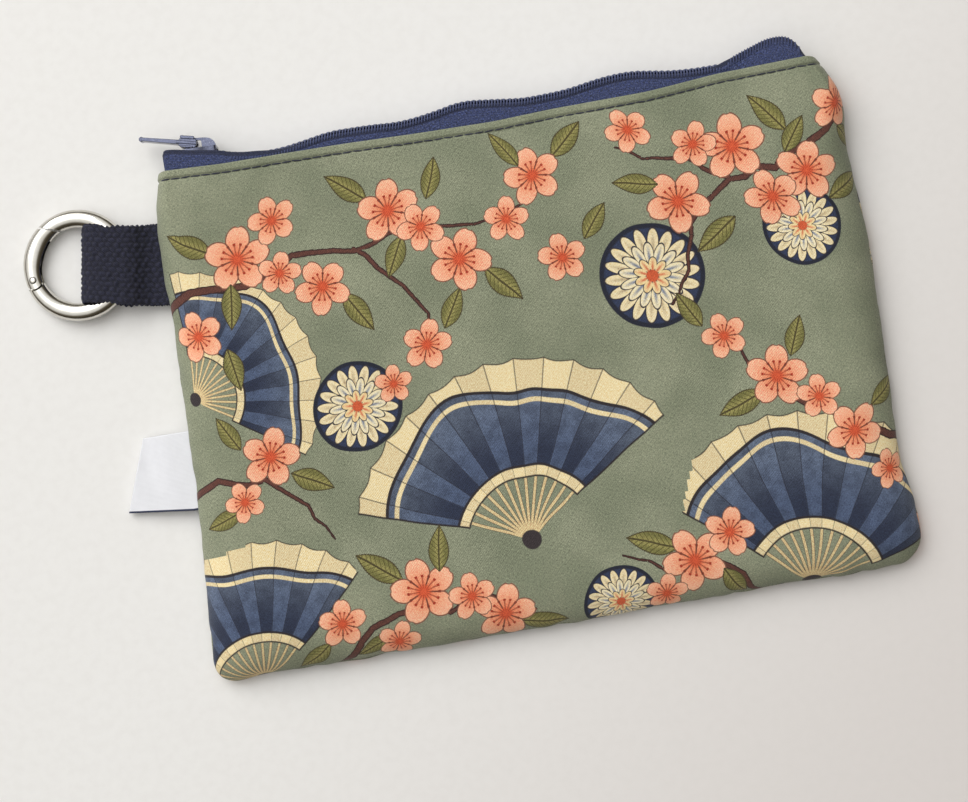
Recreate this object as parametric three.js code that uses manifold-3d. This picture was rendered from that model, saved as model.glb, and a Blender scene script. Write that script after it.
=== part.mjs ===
// A flat zipped pouch of printed cotton, with a coil zip along its top edge, a folded webbing loop
// that holds a spring-gate ring, and a folded label tab in the same side seam.
// Millimetres. The pouch lies on its back panel: X runs along the zip, +Y points from the bottom
// edge to the zip, +Z points up through the thickness. The origin is the middle of the back panel's
// resting face.

import * as THREE from 'three';
import { mergeVertices } from 'three/addons/utils/BufferGeometryUtils.js';
import Module from 'manifold-3d';

const wasm = await Module();
wasm.setup();

// Running and seating clearances
const SEAT_GAP = 0.3;
const SLIDE_GAP = 0.25;

// The body of the pouch
const BODY_HEIGHT = 131;
const BOTTOM_WIDTH = 184;
const SHOULDER_WIDTH = 181;
const ZIP_EDGE_WIDTH = 171;
const SHOULDER_HEIGHT = 15;
const CORNER_RADIUS = 7;
const SEAM_HEIGHT = 2.6;
const FRONT_ROLL = 13;
const BACK_ROLL = 8;
const ZIP_EDGE_ROLL = 3;
const LOWER_THICKNESS = 9.2;
const FABRIC = 0.9;
const LINING = 0.4;
const LINING_INSET = 7;
const HEM_DEPTH = 9;

// The zip: two tapes, each with a nylon coil sewn on near its edge
const TAPE = 0.4;
const ZIP_LENGTH = 165;
const TAPE_RISE = 2.2;
const TAPE_SLIT = 2;
const COIL_PITCH = 1.54;
const COIL_WIRE = 0.46;
const COIL_WIDTH = 1.95;
const COIL_HEIGHT = 1.45;
const COIL_MESH = 0.5;
const COIL_STEPS = 6;
const COIL_SIDES = 3;

// The slider and its pull
const SLIDER_LENGTH = 9.4;
const SLIDER_WIDTH = 7.4;
const SLIDER_TAIL_WIDTH = 6;
const SLIDER_PLATE = 0.75;
const SLIDER_WALL = 0.6;
const SLIDER_BACK_WIDTH = 6.4;
const TAPE_BEND = 0.7;
const POST_WIDTH = 1.1;
const POST_LENGTH = 3.2;
const SLIDER_END_SPACE = 2.8;
const BAIL_WIDTH = 1.5;
const BAIL_STRAP = 0.7;
const PULL_REACH = 14.3;
const PULL_WIDTH = 4.6;
const PULL_PLATE = 1.3;
const PULL_RIM = 1.8;
const PULL_PIN = 0.8;
const PULL_KNUCKLE = 2.7;
const PULL_SLOT = 3;
const PULL_LIFT_DEG = 13.5;

// The webbing loop and the ring in it
const WEBBING_WIDTH = 19.6;
const WEBBING = 1.25;
const LOOP_LENGTH = 19.8;
const LOOP_ROOT = 5;
const LOOP_TURN_DEG = -9;
const LOOP_BELOW_ZIP = 22.9;
const RING_WIRE = 4;
const RING_INSIDE = 20.4;
const RING_SLACK = 11.2;
const LATCH_DEG = 128.5;
const LATCH_SLANT_DEG = -8.6;
const GATE_TO_DEG = 212;
const GATE_PIN_DEG = 199;
const GATE_PIN = 1.5;
const GATE_SLOT = 1.9;
const GATE_TONGUE = 1.3;
const RING_SIDES = 12;

// The folded label tab
const LABEL = 0.3;
const LABEL_BELOW_ZIP = 66.9;
const LABEL_WIDTH = 20;
const LABEL_TOP_REACH = 11;
const LABEL_BOTTOM_REACH = 17.6;
const LABEL_ROOT = 4;
const LABEL_DROOP = 1.2;

// Sizes that follow from the ones above
const BOTTOM_Y = -BODY_HEIGHT / 2;
const FOLD_Y = BODY_HEIGHT / 2;
const ZIP_MID_Z = SLIDER_WIDTH / 2 + SEAT_GAP + TAPE + SEAT_GAP + FABRIC;
const ZIP_THICKNESS = 2 * ZIP_MID_Z;
const TAPE_INSIDE = SLIDER_WIDTH / 2 + SEAT_GAP;
const TAPE_TOP_Y = FOLD_Y + TAPE_RISE;
const COIL_FLOOR_Y = TAPE_TOP_Y + SLIDE_GAP;
const COIL_CENTRE_Y = COIL_FLOOR_Y + COIL_HEIGHT / 2;
const PLATE_FLOOR_Y = COIL_FLOOR_Y + COIL_HEIGHT + SLIDE_GAP;
const PLATE_TOP_Y = PLATE_FLOOR_Y + SLIDER_PLATE;
const COIL_PART = POST_WIDTH / 2 + SLIDE_GAP + COIL_MESH / 2;
const SLIDER_NOSE = -SLIDER_LENGTH / 2;
const SLIDER_TAIL = SLIDER_LENGTH / 2;
const SLIDER_X = -ZIP_LENGTH / 2 + SLIDER_END_SPACE - SLIDER_NOSE;
const PIVOT_X = -1.4;
const PIVOT_Y = PLATE_TOP_Y + PULL_KNUCKLE / 2 + SLIDE_GAP;
const RING_RADIUS = (RING_INSIDE + RING_WIRE) / 2;
const RING_FLOOR_Z = WEBBING + 2 * SEAT_GAP + RING_WIRE / 2;
const LOOP_AXIS_X = -LOOP_LENGTH + RING_SLACK;
const LOOP_X = -SHOULDER_WIDTH / 2 - SEAT_GAP;
const LOOP_Y = FOLD_Y - LOOP_BELOW_ZIP;
const LABEL_TOP_Y = FOLD_Y - LABEL_BELOW_ZIP;
const RING_TILT = -Math.asin((RING_FLOOR_Z - RING_WIRE / 2) / (2 * RING_RADIUS));
const GATE_PIN_AT = [
  RING_RADIUS * Math.cos(THREE.MathUtils.degToRad(GATE_PIN_DEG)),
  RING_RADIUS * Math.sin(THREE.MathUtils.degToRad(GATE_PIN_DEG)),
];

const COLOURS = {
  print: 0x7f8c75,
  lining: 0x8a8f86,
  tape: 0x323e6e,
  coil: 0x1d2549,
  slider: 0x6e78a5,
  nickel: 0xc9c9cc,
  webbing: 0x1e2032,
  label: 0xf0f0f5,
};

const smooth = (from, to, value) => THREE.MathUtils.smoothstep(value, from, to);
const radians = THREE.MathUtils.degToRad;

// Turns a closed geometry into a solid whose shared vertices are one
function toSolid(geometry) {
  const bare = geometry.clone();
  bare.deleteAttribute('normal');
  bare.deleteAttribute('uv');
  const merged = mergeVertices(bare, 1e-5);
  return new wasm.Manifold(new wasm.Mesh({
    numProp: 3,
    vertProperties: new Float32Array(merged.attributes.position.array),
    triVerts: new Uint32Array(merged.index.array),
  }));
}

function toGeometry(solid) {
  const mesh = solid.getMesh();
  const geometry = new THREE.BufferGeometry();
  geometry.setAttribute('position', new THREE.BufferAttribute(new Float32Array(mesh.vertProperties), 3));
  geometry.setIndex(new THREE.BufferAttribute(new Uint32Array(mesh.triVerts), 1));
  geometry.computeVertexNormals();
  return geometry;
}

function join(first, ...rest) {
  return rest.reduce((solid, next) => solid.add(next), first);
}

function cut(first, ...rest) {
  return rest.reduce((solid, next) => solid.subtract(next), first);
}

// A geometry from points and triangles, turned the right way out by the sign of its volume
function closedGeometry(points, triangles) {
  let volume = 0;
  for (const [a, b, c] of triangles) {
    volume += points[a].dot(points[b].clone().cross(points[c]));
  }
  const index = triangles.flatMap(([a, b, c]) => (volume > 0 ? [a, b, c] : [a, c, b]));
  const geometry = new THREE.BufferGeometry();
  geometry.setAttribute('position', new THREE.Float32BufferAttribute(points.flatMap((p) => [p.x, p.y, p.z]), 3));
  geometry.setIndex(index);
  geometry.computeVertexNormals();
  return geometry;
}

// A tube through rings of points, closed by a flat cap at each end
function loft(rings) {
  const sides = rings[0].length;
  const triangles = [];
  for (let ring = 0; ring + 1 < rings.length; ring += 1) {
    for (let side = 0; side < sides; side += 1) {
      const a = ring * sides + side;
      const b = ring * sides + ((side + 1) % sides);
      triangles.push([a, b, a + sides], [b, b + sides, a + sides]);
    }
  }
  const last = (rings.length - 1) * sides;
  for (let side = 1; side + 1 < sides; side += 1) {
    triangles.push([0, side + 1, side], [last, last + side, last + side + 1]);
  }
  return closedGeometry(rings.flat(), triangles);
}

// A sheet with two faces: face(column, row, depth) gives a point, and depth 0 and 1 are its sides
function sheet(columns, rows, face) {
  const points = [];
  for (const depth of [0, 1]) {
    for (let row = 0; row <= rows; row += 1) {
      for (let column = 0; column <= columns; column += 1) {
        points.push(face(column, row, depth));
      }
    }
  }
  const at = (column, row, depth) => (depth * (rows + 1) + row) * (columns + 1) + column;
  const triangles = [];
  for (let row = 0; row < rows; row += 1) {
    for (let column = 0; column < columns; column += 1) {
      const outer = [[0, 0], [1, 0], [1, 1], [0, 1]].map(([c, r]) => at(column + c, row + r, 0));
      const inner = [[0, 0], [1, 0], [1, 1], [0, 1]].map(([c, r]) => at(column + c, row + r, 1));
      triangles.push([outer[0], outer[1], outer[2]], [outer[0], outer[2], outer[3]]);
      triangles.push([inner[0], inner[2], inner[1]], [inner[0], inner[3], inner[2]]);
    }
  }
  const edge = [];
  for (let column = 0; column < columns; column += 1) edge.push([column, 0]);
  for (let row = 0; row < rows; row += 1) edge.push([columns, row]);
  for (let column = columns; column > 0; column -= 1) edge.push([column, rows]);
  for (let row = rows; row > 0; row -= 1) edge.push([0, row]);
  edge.forEach(([column, row], i) => {
    const [nextColumn, nextRow] = edge[(i + 1) % edge.length];
    const a = at(column, row, 0);
    const b = at(nextColumn, nextRow, 0);
    const c = at(nextColumn, nextRow, 1);
    const d = at(column, row, 1);
    triangles.push([a, d, c], [a, c, b]);
  });
  return closedGeometry(points, triangles);
}

// A flat shape pushed along one axis: its own (a, b) axes and the push become the named axes
function extrude(shape, depth, curveSegments, axes) {
  const geometry = new THREE.ExtrudeGeometry(shape, { depth, bevelEnabled: false, curveSegments, steps: 1 });
  const turn = new THREE.Matrix4().makeBasis(...axes.map((axis) => new THREE.Vector3(...axis)));
  return geometry.applyMatrix4(turn);
}

const ALONG_X = [[0, 1, 0], [0, 0, 1], [1, 0, 0]];
const ALONG_Z = [[1, 0, 0], [0, 1, 0], [0, 0, 1]];
const SEEN_FROM_ABOVE = [[1, 0, 0], [0, 0, -1], [0, 1, 0]];
const ACROSS_LOOP = [[1, 0, 0], [0, 0, 1], [0, -1, 0]];

// Half of the body's width at a height: straight sides that widen a little towards the bottom,
// round lower corners, and shoulders that slant in to the zip
function halfWidth(y) {
  const rise = (y - BOTTOM_Y) / (BODY_HEIGHT - SHOULDER_HEIGHT);
  let half = THREE.MathUtils.lerp(BOTTOM_WIDTH, SHOULDER_WIDTH, Math.min(rise, 1)) / 2;
  half -= ((SHOULDER_WIDTH - ZIP_EDGE_WIDTH) / 2) * smooth(FOLD_Y - SHOULDER_HEIGHT, FOLD_Y + SHOULDER_HEIGHT, y) * 2;
  const corner = Math.max(CORNER_RADIUS - (y - BOTTOM_Y), 0);
  return half - CORNER_RADIUS + Math.sqrt(CORNER_RADIUS ** 2 - Math.min(corner, CORNER_RADIUS) ** 2);
}

// How far the side seam opens on each side of its line, to take in the webbing and the label
function seamOpening(side, y) {
  const over = (middle, half, fade) => smooth(middle - half - fade, middle - half, y)
    * (1 - smooth(middle + half, middle + half + fade, y));
  if (side > 0) return 0;
  const webbing = (WEBBING + SEAT_GAP / 2) * over(LOOP_Y - 0.5, WEBBING_WIDTH / 2 + 4, 5);
  const label = (1.5 * LABEL + SEAT_GAP) * over(LABEL_TOP_Y - LABEL_WIDTH / 2, LABEL_WIDTH / 2 + 4, 5);
  return Math.max(webbing, label);
}

// Front and back panel share one form. theta runs from 0 at the side edge to 90 degrees where the
// roll meets the flat, psi does the same from the bottom edge, and each point moves in by its depth
// along the rounded edge's own normal.
const PANELS = {
  front: { up: 1, roll: FRONT_ROLL, top: (y) => THREE.MathUtils.lerp(LOWER_THICKNESS, ZIP_THICKNESS, smooth(BOTTOM_Y, FOLD_Y - HEM_DEPTH, y)) },
  back: { up: -1, roll: BACK_ROLL, top: () => 0 },
};
const ROLL_CELLS = 4;
const FLAT_COLUMNS = 6;
const PANEL_ROWS = 16;
const LINING_ROWS = 7;

function panelPoint(panel, column, row, flatRows, inset, depthAt) {
  const quarter = Math.PI / 2;
  const psi = Math.min(row / ROLL_CELLS, 1) * quarter;
  const rollEnd = BOTTOM_Y + inset + panel.roll;
  const rise = Math.max(row - ROLL_CELLS, 0) / flatRows;
  const topY = FOLD_Y - (inset > 0 ? SEAT_GAP + TAPE_RISE : 0);
  const y = rise > 0
    ? THREE.MathUtils.lerp(rollEnd, topY, rise)
    : BOTTOM_Y + inset + panel.roll * (1 - Math.cos(psi));
  const roll = THREE.MathUtils.lerp(panel.roll, ZIP_EDGE_ROLL, smooth(FOLD_Y - 45, FOLD_Y, y));
  const half = halfWidth(y - inset * (1 - rise)) - inset;
  const flat = half - roll;
  const fromSide = Math.min(column, 2 * ROLL_CELLS + FLAT_COLUMNS - column);
  const side = column < ROLL_CELLS + FLAT_COLUMNS / 2 ? -1 : 1;
  const theta = Math.min(fromSide / ROLL_CELLS, 1) * quarter;
  const x = fromSide <= ROLL_CELLS
    ? side * (half - roll * (1 - Math.cos(theta)))
    : THREE.MathUtils.lerp(-flat, flat, (column - ROLL_CELLS) / FLAT_COLUMNS);
  const seam = SEAM_HEIGHT + panel.up * (SEAT_GAP / 2 + seamOpening(side, y));
  const z = seam + (panel.top(y) - seam) * Math.sin(theta) * Math.sin(psi);
  const normal = new THREE.Vector3(
    side * Math.cos(theta),
    -Math.cos(psi),
    panel.up * Math.sin(theta) * Math.sin(psi),
  ).normalize();
  return new THREE.Vector3(x, y, z).addScaledVector(normal, -depthAt(y));
}

function panelSheet(panel, flatRows, inset, outerDepth, innerDepth) {
  const columns = 2 * ROLL_CELLS + FLAT_COLUMNS;
  return sheet(columns, ROLL_CELLS + flatRows, (column, row, depth) => (
    panelPoint(panel, column, row, flatRows, inset, depth ? innerDepth : outerDepth)));
}

function outerPanel(panel) {
  return panelSheet(panel, PANEL_ROWS, 0, () => 0, () => FABRIC);
}

// The lining lies against the panel, and behind the zip tape where the tape is sewn in
function lining(panel) {
  const outer = (y) => FABRIC + SEAT_GAP
    + (TAPE + 2 * SEAT_GAP) * smooth(FOLD_Y - 2.8 * HEM_DEPTH, FOLD_Y - 1.4 * HEM_DEPTH, y);
  return panelSheet(panel, LINING_ROWS, LINING_INSET, outer, (y) => outer(y) + LINING);
}

// One zip tape: it stands against the hem inside the pouch, rises past the fold and turns over
// towards the coil. side is 1 at the front and -1 at the back.
function zipTape(side) {
  const outside = TAPE_INSIDE + TAPE;
  const section = new THREE.Shape();
  section.moveTo(FOLD_Y - HEM_DEPTH, side * TAPE_INSIDE);
  section.lineTo(TAPE_TOP_Y - TAPE_BEND - TAPE, side * TAPE_INSIDE);
  section.absarc(TAPE_TOP_Y - TAPE_BEND - TAPE, side * (TAPE_INSIDE - TAPE_BEND), TAPE_BEND, side * Math.PI / 2, 0, side > 0);
  section.lineTo(TAPE_TOP_Y - TAPE, side * TAPE_SLIT / 2);
  section.lineTo(TAPE_TOP_Y, side * TAPE_SLIT / 2);
  section.lineTo(TAPE_TOP_Y, side * (TAPE_INSIDE - TAPE_BEND));
  section.absarc(TAPE_TOP_Y - TAPE_BEND - TAPE, side * (TAPE_INSIDE - TAPE_BEND), TAPE_BEND + TAPE, 0, side * Math.PI / 2, side < 0);
  section.lineTo(FOLD_Y - HEM_DEPTH, side * outside);
  return extrude(section, ZIP_LENGTH, 6, ALONG_X).translate(-ZIP_LENGTH / 2, 0, ZIP_MID_Z);
}

// One nylon coil: a flattened helix whose heads reach past the middle and mesh with the other
// coil's heads half a pitch further on. At the slider's nose the two part around its post.
function zipCoil(side) {
  const start = -ZIP_LENGTH / 2 + 1 + (side > 0 ? 0 : COIL_PITCH / 2);
  const turns = Math.floor((ZIP_LENGTH - 2) / COIL_PITCH) - 1;
  const wire = COIL_WIRE / 2;
  const middle = (COIL_WIDTH - COIL_MESH) / 2;
  const rings = [];
  for (let step = 0; step <= turns * COIL_STEPS; step += 1) {
    const turn = (step / COIL_STEPS) * 2 * Math.PI;
    const x = start + (step / COIL_STEPS) * COIL_PITCH;
    const parted = COIL_PART * (1 - smooth(SLIDER_X + SLIDER_NOSE + POST_LENGTH + 0.8, SLIDER_X + SLIDER_TAIL - 1.5, x));
    const out = new THREE.Vector3(0, Math.sin(turn), side * Math.cos(turn));
    const centre = new THREE.Vector3(
      x,
      COIL_CENTRE_Y + (COIL_HEIGHT / 2 - wire) * Math.sin(turn),
      ZIP_MID_Z + side * (middle + parted + (COIL_WIDTH / 2 - wire) * Math.cos(turn)),
    );
    rings.push(Array.from({ length: COIL_SIDES }, (_, corner) => {
      const angle = (corner / COIL_SIDES) * 2 * Math.PI;
      return centre.clone()
        .addScaledVector(out, wire * Math.cos(angle))
        .add(new THREE.Vector3(wire * Math.sin(angle), 0, 0));
    }));
  }
  return loft(rings);
}

// The slider's plan, seen from its top plate: wide round shoulders at the nose, a narrow tail.
// over lengthens both ends, for the channel that runs right through.
function sliderPlan(inset, over = 0) {
  const nose = SLIDER_WIDTH / 2 - inset;
  const tail = SLIDER_TAIL_WIDTH / 2 - inset;
  const noseX = SLIDER_NOSE - over;
  const tailX = SLIDER_TAIL + over;
  const waist = SLIDER_NOSE + 0.55 * SLIDER_LENGTH;
  const round = over > 0 ? 0.01 : 1.6;
  const plan = new THREE.Shape();
  plan.moveTo(noseX, 0);
  plan.lineTo(noseX, nose - round);
  plan.quadraticCurveTo(noseX, nose, noseX + round, nose);
  plan.lineTo(waist - 1.5, nose);
  plan.bezierCurveTo(waist + 0.5, nose, waist + 0.5, tail, waist + 2.5, tail);
  plan.lineTo(tailX - round / 2, tail);
  plan.quadraticCurveTo(tailX, tail, tailX, tail - round / 2);
  plan.lineTo(tailX, -tail + round / 2);
  plan.quadraticCurveTo(tailX, -tail, tailX - round / 2, -tail);
  plan.lineTo(waist + 2.5, -tail);
  plan.bezierCurveTo(waist + 0.5, -tail, waist + 0.5, -nose, waist - 1.5, -nose);
  plan.lineTo(noseX + round, -nose);
  plan.quadraticCurveTo(noseX, -nose, noseX, -nose + round);
  return plan;
}

// A shape in the slider's plan, from one height to another
function sliderLayer(shape, fromY, toY, curveSegments = 5) {
  const geometry = extrude(shape, toY - fromY, curveSegments, SEEN_FROM_ABOVE);
  return toSolid(geometry.translate(0, fromY, 0));
}

// A shape in the slider's side view, across a width about its middle
function sliderSlice(shape, fromZ, toZ, curveSegments = 6) {
  return toSolid(extrude(shape, toZ - fromZ, curveSegments, ALONG_Z).translate(0, 0, fromZ));
}

function postPlan() {
  const plan = new THREE.Shape();
  const nose = SLIDER_NOSE + 0.15;
  plan.moveTo(nose, 0);
  plan.quadraticCurveTo(nose + 0.2, POST_WIDTH / 2, nose + POST_LENGTH / 2, POST_WIDTH / 2);
  plan.quadraticCurveTo(nose + POST_LENGTH - 0.4, POST_WIDTH / 2, nose + POST_LENGTH, 0);
  plan.quadraticCurveTo(nose + POST_LENGTH - 0.4, -POST_WIDTH / 2, nose + POST_LENGTH / 2, -POST_WIDTH / 2);
  plan.quadraticCurveTo(nose + 0.2, -POST_WIDTH / 2, nose, 0);
  return plan;
}

// The bail in side view: a thin strap over the pull's pin, thick where it lands at the tail
function bailProfile() {
  const strapFloor = PIVOT_Y + PULL_PIN / 2 + SLIDE_GAP;
  const strapTop = strapFloor + BAIL_STRAP;
  const foot = PLATE_TOP_Y - 0.2;
  const profile = new THREE.Shape();
  profile.moveTo(-3.5, foot);
  profile.quadraticCurveTo(-3.4, strapTop, PIVOT_X + 0.2, strapTop);
  profile.lineTo(1.4, strapTop - 0.25);
  profile.quadraticCurveTo(4.5, strapTop - 0.4, 4.5, foot);
  profile.lineTo(0.9, foot);
  profile.lineTo(0.9, strapFloor - 0.5);
  profile.quadraticCurveTo(0.8, strapFloor, 0.2, strapFloor);
  profile.lineTo(PIVOT_X, strapFloor);
  profile.quadraticCurveTo(-2.7, strapFloor, -2.75, foot);
  return profile;
}

// Two plates, the side walls that keep the coils in, the post that parts them, and the bail
function sliderBody() {
  const bottomTop = TAPE_TOP_Y - TAPE - SLIDE_GAP;
  const wallFloor = TAPE_TOP_Y + SLIDE_GAP;
  const top = sliderLayer(sliderPlan(0), PLATE_FLOOR_Y, PLATE_TOP_Y);
  const walls = cut(
    sliderLayer(sliderPlan(0), wallFloor, PLATE_FLOOR_Y + 0.1),
    sliderLayer(sliderPlan(SLIDER_WALL, 1), wallFloor - 1, PLATE_FLOOR_Y + 1),
  );
  const bottom = sliderLayer(
    sliderPlan((SLIDER_WIDTH - SLIDER_BACK_WIDTH) / 2),
    bottomTop - SLIDER_PLATE,
    bottomTop,
  );
  const post = sliderLayer(postPlan(), bottomTop - 0.3, PLATE_FLOOR_Y + 0.3);
  const bail = sliderSlice(bailProfile(), -BAIL_WIDTH / 2, BAIL_WIDTH / 2);
  return toGeometry(join(top, walls, bottom, post, bail)).translate(SLIDER_X, 0, ZIP_MID_Z);
}

// The pull about its pin: a forked knuckle astride the bail, a flat tab and a thicker rim at its end
function sliderPull() {
  const knuckle = PULL_KNUCKLE / 2;
  const cheekProfile = new THREE.Shape();
  cheekProfile.moveTo(0, knuckle);
  cheekProfile.absarc(0, 0, knuckle, Math.PI / 2, -Math.PI / 2, true);
  cheekProfile.lineTo(-2, -knuckle);
  cheekProfile.quadraticCurveTo(-2.6, -knuckle, -PULL_SLOT - 1.4, -PULL_PLATE / 2);
  cheekProfile.lineTo(-PULL_SLOT - 1.4, PULL_PLATE / 2);
  cheekProfile.quadraticCurveTo(-2.6, knuckle, -2, knuckle);
  const inside = BAIL_WIDTH / 2 + SEAT_GAP;
  const outside = PULL_WIDTH / 2;
  const tabPlan = new THREE.Shape();
  tabPlan.moveTo(-PULL_SLOT, -outside);
  tabPlan.lineTo(-PULL_REACH + 1.5, -outside);
  tabPlan.absarc(-PULL_REACH + 1.5, -outside + 1.5, 1.5, -Math.PI / 2, -Math.PI, true);
  tabPlan.lineTo(-PULL_REACH, outside - 1.5);
  tabPlan.absarc(-PULL_REACH + 1.5, outside - 1.5, 1.5, Math.PI, Math.PI / 2, true);
  tabPlan.lineTo(-PULL_SLOT, outside);
  const layer = (shape, half) => toSolid(
    extrude(shape, 2 * half, 5, SEEN_FROM_ABOVE).translate(0, -half, 0));
  const rimPlan = new THREE.Shape();
  rimPlan.absarc(-PULL_REACH + PULL_RIM / 2, 0, PULL_RIM / 2, 0, 2 * Math.PI);
  const pin = new THREE.Shape();
  pin.absarc(0, 0, PULL_PIN / 2, 0, 2 * Math.PI);
  const solid = join(
    layer(tabPlan, PULL_PLATE / 2),
    sliderSlice(cheekProfile, inside, outside),
    sliderSlice(cheekProfile, -outside, -inside),
    sliderSlice(pin, -outside + 0.2, outside - 0.2),
    sliderSlice(rimPlan, -outside + 0.9, outside - 0.9),
  );
  const turn = new THREE.Matrix4().makeRotationZ(-radians(PULL_LIFT_DEG));
  return toGeometry(solid).applyMatrix4(turn).translate(SLIDER_X + PIVOT_X, PIVOT_Y, ZIP_MID_Z);
}

// The webbing folded on itself: its two layers are sewn together in the seam, open around the
// ring's wire and meet again in the fold. Side view in the loop's own frame, -X away from the seam.
function webbingLoop() {
  const eyeTop = WEBBING + 3 * SEAT_GAP + RING_WIRE;
  const low = SEAM_HEIGHT - WEBBING;
  const high = SEAM_HEIGHT + WEBBING;
  const fold = -LOOP_LENGTH;
  const wire = LOOP_AXIS_X;
  const outline = new THREE.Shape();
  outline.moveTo(LOOP_ROOT, low);
  outline.lineTo(LOOP_ROOT, high);
  outline.lineTo(0, high);
  outline.bezierCurveTo(wire / 2, high, wire / 2, eyeTop + WEBBING, wire, eyeTop + WEBBING);
  outline.bezierCurveTo(wire - 6, eyeTop + WEBBING, fold, eyeTop + WEBBING - 0.4, fold, SEAM_HEIGHT);
  outline.bezierCurveTo(fold, 0.6, fold + 1.2, 0, fold + 3, 0);
  outline.lineTo(wire + 2, 0);
  outline.bezierCurveTo(wire + 5, 0, -3, low, 0, low);
  const eye = new THREE.Path();
  eye.moveTo(-2, SEAM_HEIGHT);
  eye.bezierCurveTo(wire / 2 - 1, SEAM_HEIGHT - 0.3, wire + 4.5, WEBBING, wire + 2, WEBBING);
  eye.lineTo(fold + 3, WEBBING);
  eye.bezierCurveTo(fold + 1.6, WEBBING, fold + WEBBING, 1.7, fold + WEBBING, SEAM_HEIGHT);
  eye.bezierCurveTo(fold + WEBBING, eyeTop - 0.4, wire - 6, eyeTop, wire, eyeTop);
  eye.bezierCurveTo(wire / 2 - 0.6, eyeTop, wire / 2 - 1, SEAM_HEIGHT + 0.5, -2, SEAM_HEIGHT);
  outline.holes.push(eye);
  return extrude(outline, WEBBING_WIDTH, 10, ACROSS_LOOP)
    .translate(0, WEBBING_WIDTH / 2, 0);
}

// An arc of the ring's round wire about the ring's centre, with flat ends
function ringArc(fromDeg, toDeg, wireRadius = RING_WIRE / 2) {
  const steps = Math.max(2, Math.round(Math.abs(toDeg - fromDeg) / 9));
  const rings = [];
  for (let step = 0; step <= steps; step += 1) {
    const angle = radians(THREE.MathUtils.lerp(fromDeg, toDeg, step / steps));
    const out = new THREE.Vector3(Math.cos(angle), Math.sin(angle), 0);
    rings.push(Array.from({ length: RING_SIDES }, (_, corner) => {
      const turn = ((corner + 0.5) / RING_SIDES) * 2 * Math.PI;
      return out.clone().multiplyScalar(RING_RADIUS + wireRadius * Math.cos(turn))
        .add(new THREE.Vector3(0, 0, wireRadius * Math.sin(turn)));
    }));
  }
  return toSolid(loft(rings));
}

// A block that keeps only what lies within a thickness about the ring's plane
function middleSlab(thickness) {
  return toSolid(new THREE.BoxGeometry(4 * RING_RADIUS, 4 * RING_RADIUS, thickness));
}

function pinRod(diameter, length) {
  const rod = new THREE.CylinderGeometry(diameter / 2, diameter / 2, length, 16);
  return toSolid(rod.rotateX(Math.PI / 2).translate(GATE_PIN_AT[0], GATE_PIN_AT[1], 0));
}

// A block that ends at the slanting joint between the ring and the gate's free end. It covers the
// wire on one side of the joint: the ring body's side where up is 1, the gate's where it is -1.
function latchBlock(up, gap) {
  const size = 1.1 * RING_RADIUS;
  const block = new THREE.BoxGeometry(2 * size, size, size).translate(0, up * (size / 2) - gap, 0);
  block.rotateZ(radians(LATCH_SLANT_DEG));
  const angle = radians(LATCH_DEG);
  return toSolid(block.translate(RING_RADIUS * Math.cos(angle), RING_RADIUS * Math.sin(angle), 0));
}

// The open ring: a round wire with a slanting end where the gate shuts, and at its lower end a thin
// tongue, drilled for the gate's pin
function ringBody() {
  const wire = cut(ringArc(GATE_TO_DEG - 360, LATCH_DEG + 27.5), latchBlock(-1, 0));
  const tongue = ringArc(GATE_PIN_DEG - 6, GATE_TO_DEG + 4, RING_WIRE / 2 - 0.35).intersect(middleSlab(GATE_TONGUE));
  return toGeometry(cut(join(wire, tongue), pinRod(GATE_PIN + 2 * SLIDE_GAP, 2 * RING_WIRE)));
}

// The gate: the missing arc, cut to the slant at its free end, and at its hinged end rounded about
// the pin, slotted over the tongue and drilled
function ringGate() {
  const arc = cut(ringArc(LATCH_DEG - 22, GATE_TO_DEG), latchBlock(1, SEAT_GAP));
  const knuckleRadius = RING_RADIUS * radians(GATE_TO_DEG - GATE_PIN_DEG) - SEAT_GAP;
  const tail = cut(
    ringArc(GATE_PIN_DEG, GATE_TO_DEG + 14, RING_WIRE),
    pinRod(2 * knuckleRadius, 3 * RING_WIRE),
  );
  const slot = ringArc(GATE_PIN_DEG - 19, GATE_TO_DEG + 14, RING_WIRE).intersect(middleSlab(GATE_SLOT));
  return toGeometry(cut(arc, tail, slot, pinRod(GATE_PIN + 2 * SLIDE_GAP, 2 * RING_WIRE)));
}

// A rivet through the gate and the tongue, flush with the wire
function gatePin() {
  const rod = new THREE.CylinderGeometry(GATE_PIN / 2, GATE_PIN / 2, RING_WIRE, 14);
  return rod.rotateX(Math.PI / 2).translate(GATE_PIN_AT[0], GATE_PIN_AT[1], 0);
}

// A small leaf spring in the end of the gate's slot, pressing on the tongue
function gateSpring() {
  const leaf = ringArc(GATE_PIN_DEG - 17, GATE_PIN_DEG - 10, 0.4);
  return toGeometry(leaf);
}

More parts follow.
